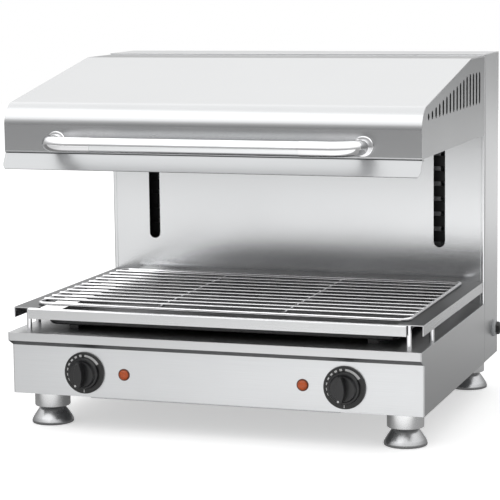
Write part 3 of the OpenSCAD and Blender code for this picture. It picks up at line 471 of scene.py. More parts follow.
class Shape:
    """A mesh under construction, in the frame's place."""

    def __init__(self) -> None:
        """Starts an empty mesh."""
        self.bm = bmesh.new()

    @classmethod
    def of_node(cls, node: str) -> Shape:
        """Starts from a merged copy of a frame node, with its flat faces whole again."""
        shape = cls()
        shape.bm.from_mesh(frame_node(node).data)
        bmesh.ops.remove_doubles(shape.bm, verts=shape.bm.verts[:], dist=CAD_WELD)
        bmesh.ops.dissolve_limit(
            shape.bm, angle_limit=FLAT_ANGLE, verts=shape.bm.verts[:], edges=shape.bm.edges[:],
        )
        return shape

    @classmethod
    def turned(cls, profile: list[tuple[float, float]], centre: Vector, axis: Axis, steps: int = 64) -> Shape:
        """Spins an open profile of (radius, height) pairs about an axis.

        Args:
            profile: Points from the start to the end of the profile.
            centre: Where the axis starts.
            axis: Direction of height.
            steps: Number of facets round the axis.

        Returns:
            The new shape.
        """
        shape, place = cls(), stand(centre, axis.vector)
        verts, edges = shape.chain(place @ Vector((r, 0.0, h)) for r, h in profile)
        bmesh.ops.spin(
            shape.bm, geom=[*verts, *edges], cent=centre, axis=axis.vector, angle=math.tau,
            steps=steps, use_merge=True, use_duplicate=False,
        )
        return shape

    @classmethod
    def swept(cls, start: Vector, heading: Vector, radius: float, moves: list[Straight | Bend],
              sides: int, closed: bool = False) -> Shape:
        """Sweeps a capped round tube.

        Args:
            start: Centre of its first end.
            heading: Direction in which it leaves.
            radius: Radius of the tube.
            moves: Its straight stretches and bends, in order.
            sides: Facets round the tube.
            closed: Whether the last ring meets the first, so neither end is capped.

        Returns:
            The new shape.
        """
        shape = cls()
        ring = bmesh.ops.create_circle(
            shape.bm, radius=radius, segments=sides, matrix=stand(start, heading),
        )["verts"]
        edges = list({edge for vert in ring for edge in vert.link_edges})
        first, here = list(edges), start.copy()
        for move in moves:
            if isinstance(move, Straight):
                made = bmesh.ops.extrude_edge_only(shape.bm, edges=edges)["geom"]
                shape.drag(made, heading * move.length)
                here = here + heading * move.length
            else:
                pivot, axle = here + move.towards * move.radius, heading.cross(move.towards)
                verts = list({vert for edge in edges for vert in edge.verts})
                made = bmesh.ops.spin(
                    shape.bm, geom=[*verts, *edges], cent=pivot, axis=axle, angle=move.angle,
                    steps=move.steps, use_merge=False, use_duplicate=False,
                )["geom_last"]
                swing = Matrix.Rotation(move.angle, 3, axle)
                here, heading = pivot + swing @ (here - pivot), swing @ heading
            edges = [item for item in made if isinstance(item, bmesh.types.BMEdge)]
        if not closed:
            bmesh.ops.edgeloop_fill(shape.bm, edges=first)
            bmesh.ops.edgeloop_fill(shape.bm, edges=edges)
        return shape

    def box(self, low: Vector, high: Vector) -> list[bmesh.types.BMVert]:
        """Adds a box and returns its vertices."""
        place = Matrix.Translation((high + low) / 2) @ Matrix.Diagonal((*(high - low), 1.0))
        return bmesh.ops.create_cube(self.bm, size=1.0, matrix=place)["verts"]

    def chain(self, points: Iterable[Vector]) -> tuple[list[bmesh.types.BMVert], list[bmesh.types.BMEdge]]:
        """Adds a row of points and the edges between them, and returns both."""
        verts = [self.bm.verts.new(point) for point in points]
        return verts, [self.bm.edges.new(pair) for pair in zip(verts, verts[1:])]

    def drag(
        self, made: list[bmesh.types.BMVert | bmesh.types.BMEdge | bmesh.types.BMFace], step: Vector,
    ) -> None:
        """Moves the vertices among what an extrusion has made."""
        verts = [item for item in made if isinstance(item, bmesh.types.BMVert)]
        bmesh.ops.translate(self.bm, verts=verts, vec=step)

    def slab(self, outline: list[Vector], step: Vector) -> None:
        """Adds a flat outline and gives it a thickness along a step."""
        face = self.bm.faces.new([self.bm.verts.new(point) for point in outline])
        self.drag(bmesh.ops.extrude_face_region(self.bm, geom=[face])["geom"], step)

    def edges_at(self, y: float | None = None, z: float | None = None) -> list[bmesh.types.BMEdge]:
        """Returns the edges that lie at a depth, at a height, or at both."""
        return [
            edge for edge in self.bm.edges
            if all((y is None or abs(v.co.y - y) < TINY) and (z is None or abs(v.co.z - z) < TINY)
                   for v in edge.verts)
        ]

    def bevel(self, edges: list[bmesh.types.BMEdge], width: float, segments: int, clamp: bool = False) -> None:
        """Rounds edges.

        Args:
            edges: The edges.
            width: Width of the round on each side of an edge.
            segments: Number of facets across the round.
            clamp: Whether to narrow rounds that would overlap.
        """
        bmesh.ops.bevel(
            self.bm, geom=edges, offset=width, offset_type="OFFSET", segments=segments,
            profile=0.5, affect="EDGES", clamp_overlap=clamp, material=-1,
        )

    def soften(self, width: float, segments: int = 2, angle: float = SHARP_ANGLE) -> None:
        """Rounds every edge that is sharper than an angle."""
        sharp = [
            edge for edge in self.bm.edges
            if len(edge.link_faces) == 2 and edge.calc_face_angle(0.0) > angle
        ]
        self.bevel(sharp, width, segments, clamp=True)

    def face_out(self) -> None:
        """Turns all faces outwards."""
        bmesh.ops.recalc_face_normals(self.bm, faces=self.bm.faces[:])

    def thicken(self, thickness: float, outer: float) -> None:
        """Gives an open sheet its thickness, inwards from its outer side.

        Args:
            thickness: Thickness of the sheet.
            outer: 1 where its highest face looks outwards, -1 where its lowest one does.
        """
        self.face_out()
        end = max(self.bm.faces, key=lambda face: outer * face.calc_center_median().z)
        if outer * end.normal.z < 0.0:
            bmesh.ops.reverse_faces(self.bm, faces=self.bm.faces[:])
        bmesh.ops.solidify(self.bm, geom=self.bm.faces[:], thickness=thickness)

    def finish(
        self, name: str, body: str | None, finish: Finish, *nodes: str, weld: bool = True,
    ) -> bpy.types.Object:
        """Makes the mesh an object that rides on a body.

        Args:
            name: Name of the piece.
            body: Body that it moves with, or None for a piece that joins two bodies.
            finish: Its finish.
            nodes: Frame nodes that it stands for.
            weld: Whether to merge doubles and turn all faces outwards.

        Returns:
            The finished piece.
        """
        if weld:
            bmesh.ops.remove_doubles(self.bm, verts=self.bm.verts[:], dist=WELD)
            self.face_out()
        for face in self.bm.faces:
            face.smooth = True
        for edge in self.bm.edges:
            edge.smooth = edge.calc_face_angle(0.0) < SHARP_ANGLE
        mesh = bpy.data.meshes.new(name)
        self.bm.to_mesh(mesh)
        self.bm.free()
        mesh.materials.append(finish.material())
        piece = bpy.data.objects.new(name, mesh)
        bpy.context.scene.collection.objects.link(piece)
        level = piece.modifiers.new("level_normals", "WEIGHTED_NORMAL")
        level.weight = 100
        level.keep_sharp = True
        if body is not None:
            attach(piece, body)
        if nodes:
            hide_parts(*nodes)
        LOG.info("made %s on %s", name, body or "two bodies")
        return piece


def frame_node(name: str) -> bpy.types.Object:
    """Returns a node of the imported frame."""
    return FRAME["nodes"][name]


def corners(node: str) -> tuple[Vector, Vector]:
    """Returns the lowest and highest corners of a frame node."""
    low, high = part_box(node)
    return Vector(low), Vector(high)


def middle(node: str) -> Vector:
    """Returns the middle of a frame node's box."""
    low, high = corners(node)
    return (low + high) / 2


def on_floor(node: str) -> Vector:
    """Returns the point of the floor below the middle of a frame node."""
    place = middle(node)
    place.z = 0.0
    return place


def refine(node: str, body: str, finish: Finish, edge: float = 0.4 * MM) -> bpy.types.Object:
    """Stands a softened copy in for a frame node, with small rounds on its edges."""
    shape = Shape.of_node(node)
    shape.soften(edge)
    return shape.finish(f"{node}_finished", body, finish, node, weld=False)


def dress_faces(piece: bpy.types.Object, finish: Finish, towards: Vector) -> None:
    """Gives the faces of a piece that look in one direction a lighter or darker copy of its finish, which
    paints light or shade on them.

    Args:
        piece: Piece to dress.
        finish: Finish of those faces, from the same slot as the rest.
        towards: Unit vector that they face, within about thirty degrees.
    """
    piece.data.materials.append(finish.material())
    for polygon in piece.data.polygons:
        if polygon.normal.dot(towards) > FACING:
            polygon.material_index = 1


def coat(node: str, finish: Finish) -> None:
    """Gives a frame node its finish as it is."""
    item = frame_node(node)
    item.data.materials.clear()
    item.data.materials.append(finish.material())


# ---------------------------------------------------------------- stage


@dataclass
class Studio:
    """White sweep, soft lights and the camera of the photograph.

    Attributes:
        eye: Place of the camera.
        yaw: Its turn about the upright.
        pitch: Its tilt below the horizon.
        roll: Its tilt to one side.
        lens: Its focal length in millimetres.
        ambient: Strength of the surround on plain surfaces.
        horizon: Strength of the surround at the horizon, as metal sees it.
        zenith: The same high up.
        sky_span: Sine of the elevation where the surround starts and ends to brighten.
        reach: Half the floor's width.
        paint: Tone of the floor.
        floor_lift: Glow of the floor to the camera and to metal.
        floor_bands: Depth and tone of the floor's bands, as metal sees them.
        floor_sides: Share of those tones at the left and the right.
        side_span: Where the floor's left ends and its right starts.
        near_span: Depths between which the floor's sides come in.
    """

    eye: Vector = field(default_factory=lambda: Vector((0.914, -2.782, 0.648)))
    yaw: float = math.radians(-18.62)
    pitch: float = math.radians(8.08)
    roll: float = math.radians(-0.70)
    lens: float = 143.9
    ambient: float = 0.7
    horizon: float = 0.48
    zenith: float = 1.9
    sky_span: tuple[float, float] = (0.05, 0.76)
    reach: float = 6.0
    paint: float = 0.95
    floor_lift: float = 0.5
    floor_bands: tuple[tuple[float, float], ...] = (
        (-3.4, 0.2), (-2.6, 0.95), (-0.38, 0.95), (-0.28, 0.28), (0.3, 0.28), (0.9, 0.45), (1.5, 0.45),
        (2.2, 0.95),
    )
    floor_sides: tuple[float, float] = (0.6, 1.15)
    side_span: tuple[float, float] = (-0.9, 0.3)
    near_span: tuple[float, float] = (-2.0, -1.2)

    def camera(self) -> None:
        """Places the camera at the photograph's viewpoint."""
        ahead = Vector((
            math.sin(self.yaw) * math.cos(self.pitch),
            math.cos(self.yaw) * math.cos(self.pitch),
            -math.sin(self.pitch),
        ))
        level = Vector((math.cos(self.yaw), -math.sin(self.yaw), 0.0))
        above = level.cross(ahead)
        right = math.cos(self.roll) * level + math.sin(self.roll) * above
        up = math.cos(self.roll) * above - math.sin(self.roll) * level
        data = bpy.data.cameras.new("camera")
        data.lens = self.lens
        data.sensor_width = 36.0
        camera = bpy.data.objects.new("camera", data)
        camera.matrix_world = Matrix.Translation(self.eye) @ Matrix((right, up, -ahead)).transposed().to_4x4()
        bpy.context.scene.collection.objects.link(camera)
        bpy.context.scene.camera = camera

    def area(self, name: str, place: Vector, aim: Vector, size: tuple[float, float], power: float) -> None:
        """Adds a rectangular lamp.

        Args:
            name: Name of the lamp.
            place: Where it stands.
            aim: Point that it faces.
            size: Its width and height.
            power: Its power in watts.
        """
        data = bpy.data.lights.new(name, "AREA")
        data.shape = "RECTANGLE"
        data.size, data.size_y = size
        data.energy = power
        lamp = bpy.data.objects.new(name, data)
        lamp.location = place
        lamp.visible_camera = False
        lamp.rotation_euler = (place - aim).to_track_quat("Z", "Y").to_euler()
        bpy.context.scene.collection.objects.link(lamp)

    @staticmethod
    def ease(tree: bpy.types.NodeTree, span: tuple[float, float], ends: tuple[float, float]) -> bpy.types.Node:
        """Adds a node that eases from one value to another over a span of its input.

        Args:
            tree: Tree that gets the node.
            span: Input where it starts and ends.
            ends: Its values there.
        """
        return add_node(tree, "ShaderNodeMapRange", from_min=span[0], from_max=span[1], to_min=ends[0],
                        to_max=ends[1], interpolation_type="SMOOTHSTEP")

    def world(self) -> None:
        """Gives a white surround to the camera, and a soft box above a dim horizon to metal."""
        world = bpy.data.worlds.new("surround")
        world.use_nodes = True
        tree = world.node_tree
        back = tree.nodes["Background"]
        paths = add_node(tree, "ShaderNodeLightPath")
        place = add_node(tree, "ShaderNodeTexCoord")
        split = add_node(tree, "ShaderNodeSeparateXYZ")
        sky = self.ease(tree, self.sky_span, (self.horizon, self.zenith))
        for_metal = add_node(tree, "ShaderNodeMix")
        for_metal.inputs[2].default_value = self.ambient
        seen = add_node(tree, "ShaderNodeMath", operation="MAXIMUM")
        level = add_node(tree, "ShaderNodeMix")
        level.inputs[3].default_value = 1.0
        wire(
            tree,
            (place, "Generated", split, 0), (split, "Z", sky, "Value"),
            (paths, "Is Glossy Ray", for_metal, 0), (sky, "Result", for_metal, 3),
            (paths, "Is Camera Ray", seen, 0), (paths, "Is Transmission Ray", seen, 1),
            (seen, 0, level, 0), (for_metal, 0, level, 2), (level, 0, back, "Strength"),
        )
        back.inputs["Color"].default_value = (1.0, 1.0, 1.0, 1.0)
        bpy.context.scene.world = world

    def bands(self, tree: bpy.types.NodeTree) -> bpy.types.Node:
        """Adds the colour ramp of the floor's bands."""
        bands = add_node(tree, "ShaderNodeValToRGB")
        ramp = bands.color_ramp
        for y, tone in self.floor_bands:
            stop = ramp.elements.new((y + self.reach) / (2 * self.reach))
            stop.color = (tone, tone, tone, 1.0)
        ramp.elements.remove(ramp.elements[0])
        ramp.elements.remove(ramp.elements[-1])
        return bands

    def paint_floor(self) -> bpy.types.Material:
        """Returns the floor's material: pale to the camera, banded to metal."""
        material = bpy.data.materials.new("floor_paint")
        material.use_nodes = True
        tree = material.node_tree
        shader = tree.nodes["Principled BSDF"]
        shader.inputs["Roughness"].default_value = 0.8
        shader.inputs["Specular IOR Level"].default_value = 0.1
        place = add_node(tree, "ShaderNodeTexCoord")
        split = add_node(tree, "ShaderNodeSeparateXYZ")
        depth = add_node(tree, "ShaderNodeMapRange", from_min=-self.reach, from_max=self.reach)
        bands = self.bands(tree)
        across = self.ease(tree, self.side_span, self.floor_sides)
        near = self.ease(tree, self.near_span, (0.0, 1.0))
        graded = add_node(tree, "ShaderNodeMix", data_type="RGBA", blend_type="MULTIPLY")
        paths = add_node(tree, "ShaderNodeLightPath")
        tone = add_node(tree, "ShaderNodeMix", data_type="RGBA")
        tone.inputs[6].default_value = (self.paint, self.paint, self.paint, 1.0)
        shown = add_node(tree, "ShaderNodeMath", operation="MAXIMUM")
        lift = add_node(tree, "ShaderNodeMath", operation="MULTIPLY")
        lift.inputs[1].default_value = self.floor_lift
        wire(
            tree,
            (place, "Object", split, 0), (split, "Y", depth, "Value"), (depth, "Result", bands, 0),
            (split, "X", across, "Value"), (split, "Y", near, "Value"), (near, "Result", graded, "Factor"),
            (bands, "Color", graded, 6), (across, "Result", graded, 7),
            (paths, "Is Glossy Ray", tone, 0), (graded, 2, tone, 7),
            (tone, 2, shader, "Base Color"), (tone, 2, shader, "Emission Color"),
            (paths, "Is Camera Ray", shown, 0), (paths, "Is Glossy Ray", shown, 1),
            (shown, 0, lift, 0), (lift, 0, shader, "Emission Strength"),
        )
        return material

    def floor(self) -> None:
        """Lays the pale floor under the object."""
        shape = Shape()
        bmesh.ops.create_grid(shape.bm, x_segments=2, y_segments=2, size=self.reach)
        bmesh.ops.translate(shape.bm, verts=shape.bm.verts[:], vec=(0.0, 0.0, -0.5 * MM))
        mesh = bpy.data.meshes.new("floor")
        shape.bm.to_mesh(mesh)
        shape.bm.free()
        mesh.materials.append(self.paint_floor())
        floor = bpy.data.objects.new("floor", mesh)
        bpy.context.scene.collection.objects.link(floor)

    def build(self) -> None:
        """Sets up the whole stage."""
        bpy.context.scene.view_settings.view_transform = "Standard"
        self.camera()
        self.world()
        self.floor()
        target = Vector((0.0, 0.0, 0.25))
        self.area("front_box", Vector((-0.9, -1.6, 2.4)), target, (2.6, 2.4), 14.0)
        self.area("back_box", Vector((-1.0, 2.4, 1.9)), target, (3.4, 1.5), 5.0)


# ---------------------------------------------------------------- the grill


@dataclass
class Base:
    """Stainless base: front panel, deck with its lip, side plates and the covers below.

    Attributes:
        edge: Round on the sheets' edges.
        lip_slope: Direction that the slope under the deck's lip faces; faces looking that way are painted dark
            as shade.
    """

    edge: float = 0.45 * MM
    lip_slope: Vector = field(default_factory=lambda: Vector((0.0, -0.47, -0.88)))

    def build(self) -> None:
        """Dresses the sheets of the base."""
        refine("base_front_panel", "casing", PANEL_STEEL, self.edge)
        deck = refine("base_deck", "casing", DECK_STEEL, self.edge)
        # the slope under the lip gets painted shade
        dress_faces(deck, LIP_SHADE_STEEL, self.lip_slope)
        for side in SIDES:
            refine(f"base_side_{side}", "casing", SIDE_STEEL, self.edge)
        refine("service_cover", "casing", BACK_STEEL, self.edge)
        coat("base_bottom_plate", BACK_STEEL)


@dataclass
class Feet:
    """Four collars under the base, each with an adjustable pad on a threaded stem.

    Attributes:
        collar_h: Height of a collar.
        collar_r: Radius of a collar.
        pad_r: Radius of a pad.
        neck_r: Radius of a pad's neck.
        rim_h: Height of a pad's rim.
        edge: Round on the edges of pads and collars.
        hollow: Depth of the hollow under a pad.
        swell: Power that domes a pad's flank, where 1 gives a plain cone.
        stem_r: Radius of a stem over its thread.
        pitch: Pitch of the thread.
        thread: Depth of the thread.
    """

    collar_h: float = 25 * MM
    collar_r: float = 25.5 * MM
    pad_r: float = 30 * MM
    neck_r: float = 15 * MM
    rim_h: float = 4.5 * MM
    edge: float = 1.2 * MM
    hollow: float = 0.8 * MM
    swell: float = 0.8
    stem_r: float = 6 * MM
    pitch: float = 1.75 * MM
    thread: float = 0.8 * MM

    def flank(self, height: float, steps: int = 14) -> list[tuple[float, float]]:
        """Returns the domed flank of a pad from its neck down to its rim.

        Args:
            height: Height of the neck's upper end.
            steps: Number of stretches along the flank.
        """
        width, rise = self.pad_r - self.neck_r, height - self.rim_h
        shares = [i / steps for i in range(steps + 1)]
        return [(self.neck_r + width * share**self.swell, height - rise * share) for share in shares]

    def pad(self, node: str) -> None:
        """Turns one pad with its stem.

        Args:
            node: Frame node of the foot, which is also its body.
        """
        centre, high_z = on_floor(node), corners(node)[1].z
        top, rim, root = high_z - 1.5 * MM - self.collar_h, self.edge, self.stem_r - self.thread
        flank = [point for point in self.flank(top) if point[0] < self.pad_r - rim]
        Shape.turned(
            [(0.0, self.hollow), (self.pad_r - 6 * MM, self.hollow), (self.pad_r - 5.5 * MM, 0.0),
             (self.pad_r - rim, 0.0), (self.pad_r - 0.3 * rim, 0.3 * rim), (self.pad_r, rim),
             (self.pad_r, self.rim_h - rim), (self.pad_r - 0.3 * rim, self.rim_h - 0.2 * rim),
             *reversed(flank), (0.0, top)],
            centre, Axis.UP, 72,
        ).finish(f"{node}_pad", node, PAD_STEEL, node)
        profile, z = [(0.0, top - 0.2 * MM), (root, top - 0.2 * MM)], top
        while z + self.pitch < high_z - 0.6 * MM:
            profile += [(root, z + 0.2 * MM), (self.stem_r, z + 0.5 * self.pitch)]
            z += self.pitch
        stem = Shape.turned([*profile, (root, high_z), (0.0, high_z)], centre, Axis.UP, 32)
        stem.finish(f"{node}_stem", node, BRIGHT_STEEL)

    def collar(self, node: str) -> None:
        """Turns the collar over one foot, with a rounded lower edge.

        Args:
            node: Frame node of the foot.
        """
        low, high = corners("foot_collars")
        radius, edge, bore = self.collar_r, self.edge, self.stem_r + 0.05 * MM
        Shape.turned(
            [(bore, high.z), (bore, low.z), (radius - edge, low.z),
             (radius - 0.3 * edge, low.z + 0.3 * edge), (radius, low.z + edge),
             (radius, high.z - 0.3 * MM), (radius - 0.3 * MM, high.z), (bore, high.z)],
            on_floor(node), Axis.UP, 72,
        ).finish(node.replace("foot", "foot_collar"), "casing", COLLAR_STEEL, "foot_collars")

    def build(self) -> None:
        """Makes the collars and the feet."""
        for node in FEET:
            self.collar(node)
        for node in FEET:
            self.pad(node)


@dataclass
class Column:
    """Rear column with two slots, the punched channels behind them and its covers.

    Attributes:
        edge: Round on the sheets' edges.
        screw_r: Radius of the screws' heads.
        screw_h: Height of the screws' heads.
        low_row_z: Height of the back cover's lower screws.
        cover_inset: Distance of the service cover's screws from its edges.
    """

    edge: float = 0.45 * MM
    screw_r: float = 3.5 * MM
    screw_h: float = 2 * MM
    low_row_z: float = 62 * MM
    cover_inset: float = 12 * MM

    def screw(self, name: str, seat: Vector, axis: Axis) -> None:
        """Turns one low domed screw with a round recess.

        Args:
            name: Name of the piece.
            seat: Middle of the screw's seat.
            axis: Direction in which the head stands out.
        """
        r, h = self.screw_r, self.screw_h
        Shape.turned(
            [(0.0, 0.0), (r, 0.0), (r, 0.25 * h), (0.86 * r, 0.75 * h), (0.6 * r, h),
             (0.42 * r, h), (0.42 * r, 0.35 * h), (0.0, 0.35 * h)],
            seat, axis, 24,
        ).finish(name, "casing", ZINC_BRIGHT, "casing_screws")

    def screws(self) -> None:
        """Sets the screws of the back cover and of the service cover."""
        low, high = corners("casing_screws")
        back_y, r, inset = corners("column_back_cover")[1].y, self.screw_r, self.cover_inset
        for i, x in enumerate((low.x + r, 0.0, high.x - r)):
            for j, z in enumerate((self.low_row_z, high.z - r)):
                self.screw(f"back_screw_{i}_{j}", Vector((x, back_y, z)), Axis.BACK)
        low, high = corners("service_cover")
        for i, x in enumerate((low.x + inset, high.x - inset)):
            for j, y in enumerate((low.y + inset, high.y - inset)):
                self.screw(f"cover_screw_{i}_{j}", Vector((x, y, low.z)), Axis.DOWN)

    def build(self) -> None:
        """Dresses the column's sheets and sets its screws."""
        refine("column_front_panel", "casing", COLUMN_STEEL, self.edge)
        for side in SIDES:
            plate = refine(f"column_side_{side}", "casing", SIDE_STEEL, self.edge)
            # the plates' front-facing faces get the column front's lighter copy, as painted light
            dress_faces(plate, COLUMN_STEEL, Axis.FRONT.vector)
        refine("column_top_cover", "casing", DECK_STEEL, self.edge)
        refine("column_back_cover", "casing", BACK_STEEL, self.edge)
        for side in SIDES:
            refine(f"guide_channel_{side}", "casing", BLACK_STEEL, 0.3 * MM)
        self.screws()


@dataclass
class Lift:
    """What carries the hood: arms and shoes, cables over pulleys, counterweight on its rods.

    Attributes:
        groove_r: Radius of the pulleys' groove.
        rope_r: Radius at which the cable's centre runs round a pulley.
        bore_r: Radius of the pulleys' bore.
        relief: Depth of the relief in the pulleys' cheeks.
        strip_step: Distance of a channel's strip from the channel's middle.
        strip_inset: Distance of a strip from the channel's ends and outer edge.
    """

    groove_r: float = 1.8 * MM
    rope_r: float = 20 * MM
    bore_r: float = 4.05 * MM
    relief: float = 1.2 * MM
    strip_step: float = 4.5 * MM
    strip_inset: float = 6 * MM

    def pulley(self, side: str) -> None:
        """Turns a pulley with a round groove and relieved cheeks.

        Args:
            side: Side of the column, left or right.
        """
        node = f"pulley_{side}"
        low, high = corners(node)
        centre = middle(node)
        centre.x = low.x
        width, rim, bore = high.x - low.x, (high.y - low.y) / 2, self.bore_r
        half = width / 2
        groove = [
            (self.rope_r - math.cos(a) * self.groove_r, half - math.sin(a) * self.groove_r)
            for a in (math.radians(90 - 22.5 * i) for i in range(9))
        ]
        cheek = [
            (bore, 0.0), (bore + 3 * MM, 0.0), (bore + 3.6 * MM, self.relief), (rim - 4 * MM, self.relief),
            (rim - 3.2 * MM, 0.0), (rim - 0.5 * MM, 0.0), (rim, 0.5 * MM), (rim, half - self.groove_r),
        ]
        far_cheek = [(r, width - h) for r, h in reversed(cheek)]
        Shape.turned([*cheek, *groove, *far_cheek, (bore, 0.0)], centre, Axis.RIGHT, 64).finish(
            f"{node}_turned", node, NYLON, node,
        )

    def backing(self, side: str, finish: Finish) -> None:
        """Sets a plain strip behind a channel's punched web, which shows through its holes; a black strip
        there is painted shade.

        Args:
            side: Side of the column, left or right.
            finish: Finish of the strip.
        """
        low, high = corners(f"guide_channel_{side}")
        inset = self.strip_inset
        shape = Shape()
        shape.box(Vector((low.x + inset, high.y, low.z + inset)),
                  Vector(((low.x + high.x) / 2 - self.strip_step, high.y + 1 * MM, high.z - inset)))
        shape.soften(0.3 * MM)
        shape.finish(f"guide_backing_{side}", "casing", finish)

    def cable(self, node: str) -> None:
        """Hangs the cables between the column and the load they carry, on neither body.

        Args:
            node: Frame node of the cables.
        """
        piece = Shape.of_node(node).finish(f"{node}_hung", None, ROPE, node, weld=False)
        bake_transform(piece)

    def build(self) -> None:
        """Makes the pulleys and dresses the rest of the lift."""
        for side in SIDES:
            self.pulley(side)
        # the left strip is black as painted shade inside the column; the right one is plain zinc
        self.backing("left", BLACK_STEEL)
        self.backing("right", DULL_ZINC)
        refine("counterweight", "counterweight", CAST, 1.5 * MM)
        refine("weight_guides", "casing", ZINC_BRIGHT, 0.5 * MM)
        refine("pulley_brackets", "casing", ZINC, 0.3 * MM)
        refine("pulley_axles", "casing", BRIGHT_STEEL, 0.3 * MM)
        refine("lift_arms", "hood", BACK_STEEL)
        refine("slide_shoes", "hood", NYLON, 0.8 * MM)
        self.cable("cables_to_hood")
        self.cable("cables_to_weight")
        coat("cables_over_pulleys", ROPE)


@dataclass
class Hood:
    """Heated hood: one bent sheet closed by vented sides, over the reflector and its elements.

    Attributes:
        sheet: Thickness of the sheet steel.
        fold: Width of the folded edges.
        bend_r: Radius of the front bend.
        ridge_r: Radius of the bend between slope and flat.
        flat: Depth of the flat at the top.
        corner_h: Height of the front corner above the underside, before bending.
        lip_r: Radius of the bend at the face's lower edge.
        rear_r: Radius of the bend at the top's rear edge.
        screen: Corners of the black sheets behind the vents, which paint shade in them, as millimetres back
            and up.
    """

    sheet: float = 1.5 * MM
    fold: float = 12 * MM
    bend_r: float = 31 * MM
    ridge_r: float = 8 * MM
    flat: float = 92 * MM
    corner_h: float = 65 * MM
    lip_r: float = 3.6 * MM
    rear_r: float = 1.6 * MM
    screen: tuple[tuple[float, float], ...] = ((30, 46), (366, 46), (366, 103), (30, 63))

    def shell(self) -> None:
        """Bends the front, slope and top from one sheet."""
        low, high = corners("hood_shell")
        path = [
            (low.y + self.fold, low.z), (low.y, low.z), (low.y, low.z + self.corner_h),
            (high.y - self.flat, high.z), (high.y, high.z), (high.y, high.z - self.fold),
        ]
        bends = ((self.lip_r, 6), (self.bend_r, 24), (self.ridge_r, 8), (self.rear_r, 4))
        shape = Shape()
        _, edges = shape.chain((low.x, y, z) for y, z in path)
        made = bmesh.ops.extrude_edge_only(shape.bm, edges=edges)["geom"]
        shape.drag(made, Vector((high.x - low.x, 0.0, 0.0)))
        for (y, z), (radius, segments) in zip(path[1:5], bends):
            fold = shape.edges_at(y, z)[0]
            shape.bevel([fold], radius * math.tan(fold.calc_face_angle() / 2), segments)
        shape.thicken(self.sheet, 1.0)
        shape.soften(0.35 * MM, 2, CORNER_ANGLE)
        shape.finish("hood_shell_bent", "hood", HOOD_STEEL, "hood_shell")

    def vent_screen(self, side: str, sign: float) -> None:
        """Sets a black sheet inside a side plate, behind its vents, as painted shade in the vents.

        Args:
            side: Side of the hood, left or right.
            sign: Direction of that side along X.
        """
        low, high = corners(f"hood_side_{side}")
        near = (high.x if sign > 0 else low.x) - sign * (self.sheet + 1 * MM)
        front = corners("hood_shell")[0]
        shape = Shape()
        shape.slab([Vector((near, front.y + y * MM, front.z + z * MM)) for y, z in self.screen],
                   Vector((-sign * 1 * MM, 0.0, 0.0)))
        shape.finish(f"vent_screen_{side}", "hood", BLACK_STEEL)

    def build(self) -> None:
        """Makes the shell and dresses what it holds."""
        self.shell()
        refine("hood_back_panel", "hood", BACK_STEEL)
        refine("hood_deflector", "hood", DEFLECTOR_STEEL)
        refine("reflector", "hood", BRIGHT_STEEL)
        refine("element_holders", "hood", ZINC, 0.3 * MM)
        for side, sign in SIDES.items():
            plate = refine(f"hood_side_{side}", "hood", VENT_STEEL, 0.3 * MM)
            # the plate's front-facing faces, the vents' walls among them, get painted shade
            dress_faces(plate, VENT_SHADE_STEEL, Axis.FRONT.vector)
            self.vent_screen(side, sign)
            Shape.of_node(f"element_{side}").finish(
                f"element_{side}_drawn", "hood", SHEATH, f"element_{side}", weld=False,
            )


@dataclass
class Handle:
    """Brushed middle tube between two polished bends with rosettes.

    Attributes:
        bend_r: Radius of the bends at the tube's centre.
        tube_r: Radius of the bends' tube.
        rosette_r: Radius of the rosettes.
        rosette_t: Thickness of the rosettes.
    """

    bend_r: float = 33 * MM
    tube_r: float = 10.3 * MM
    rosette_r: float = 14 * MM
    rosette_t: float = 3 * MM

    def bar(self) -> None:
        """Sweeps the brushed middle tube."""
        low, high = corners("handle_bar")
        start = middle("handle_bar")
        start.x = low.x
        bar = Shape.swept(start, Axis.RIGHT.vector, (high.z - low.z) / 2, [Straight(high.x - low.x)], 64)
        bar.soften(0.4 * MM, 2, CORNER_ANGLE)
        bar.finish("handle_tube", "hood", HANDLE_STEEL, "handle_bar")

    def elbow(self, side: str, sign: float) -> None:
        """Sweeps one end bend and turns its rosette.

        Args:
            side: Side of the hood, left or right.
            sign: Direction of that side along X.
        """
        node, axis, end = f"handle_bend_{side}", middle("handle_bar"), corners("handle_bar")[1].x
        low, high = corners(node)
        foot = Vector(((high.x if sign > 0 else low.x) - sign * self.rosette_r, high.y, axis.z))
        inward = (Axis.LEFT if sign > 0 else Axis.RIGHT).vector
        shape = Shape.swept(
            foot, Axis.FRONT.vector, self.tube_r,
            [Straight(foot.y - axis.y - self.bend_r), Bend(self.bend_r, math.pi / 2, inward, 32),
             Straight(abs(foot.x) - self.bend_r - end)],
            64,
        )
        shape.soften(0.5 * MM, 3, CORNER_ANGLE)
        shape.finish(f"handle_elbow_{side}", "hood", POLISHED, node)
        r, t = self.rosette_r, self.rosette_t
        Shape.turned(
            [(0.0, 0.0), (r, 0.0), (r, 0.5 * t), (r - 0.25 * t, 0.85 * t), (r - 0.7 * t, t), (0.0, t)],
            foot, Axis.FRONT, 64,
        ).finish(f"handle_rosette_{side}", "hood", POLISHED)

    def build(self) -> None:
        """Makes the tube, its bends and their rosettes."""
        self.bar()
        for side, sign in SIDES.items():
            self.elbow(side, sign)


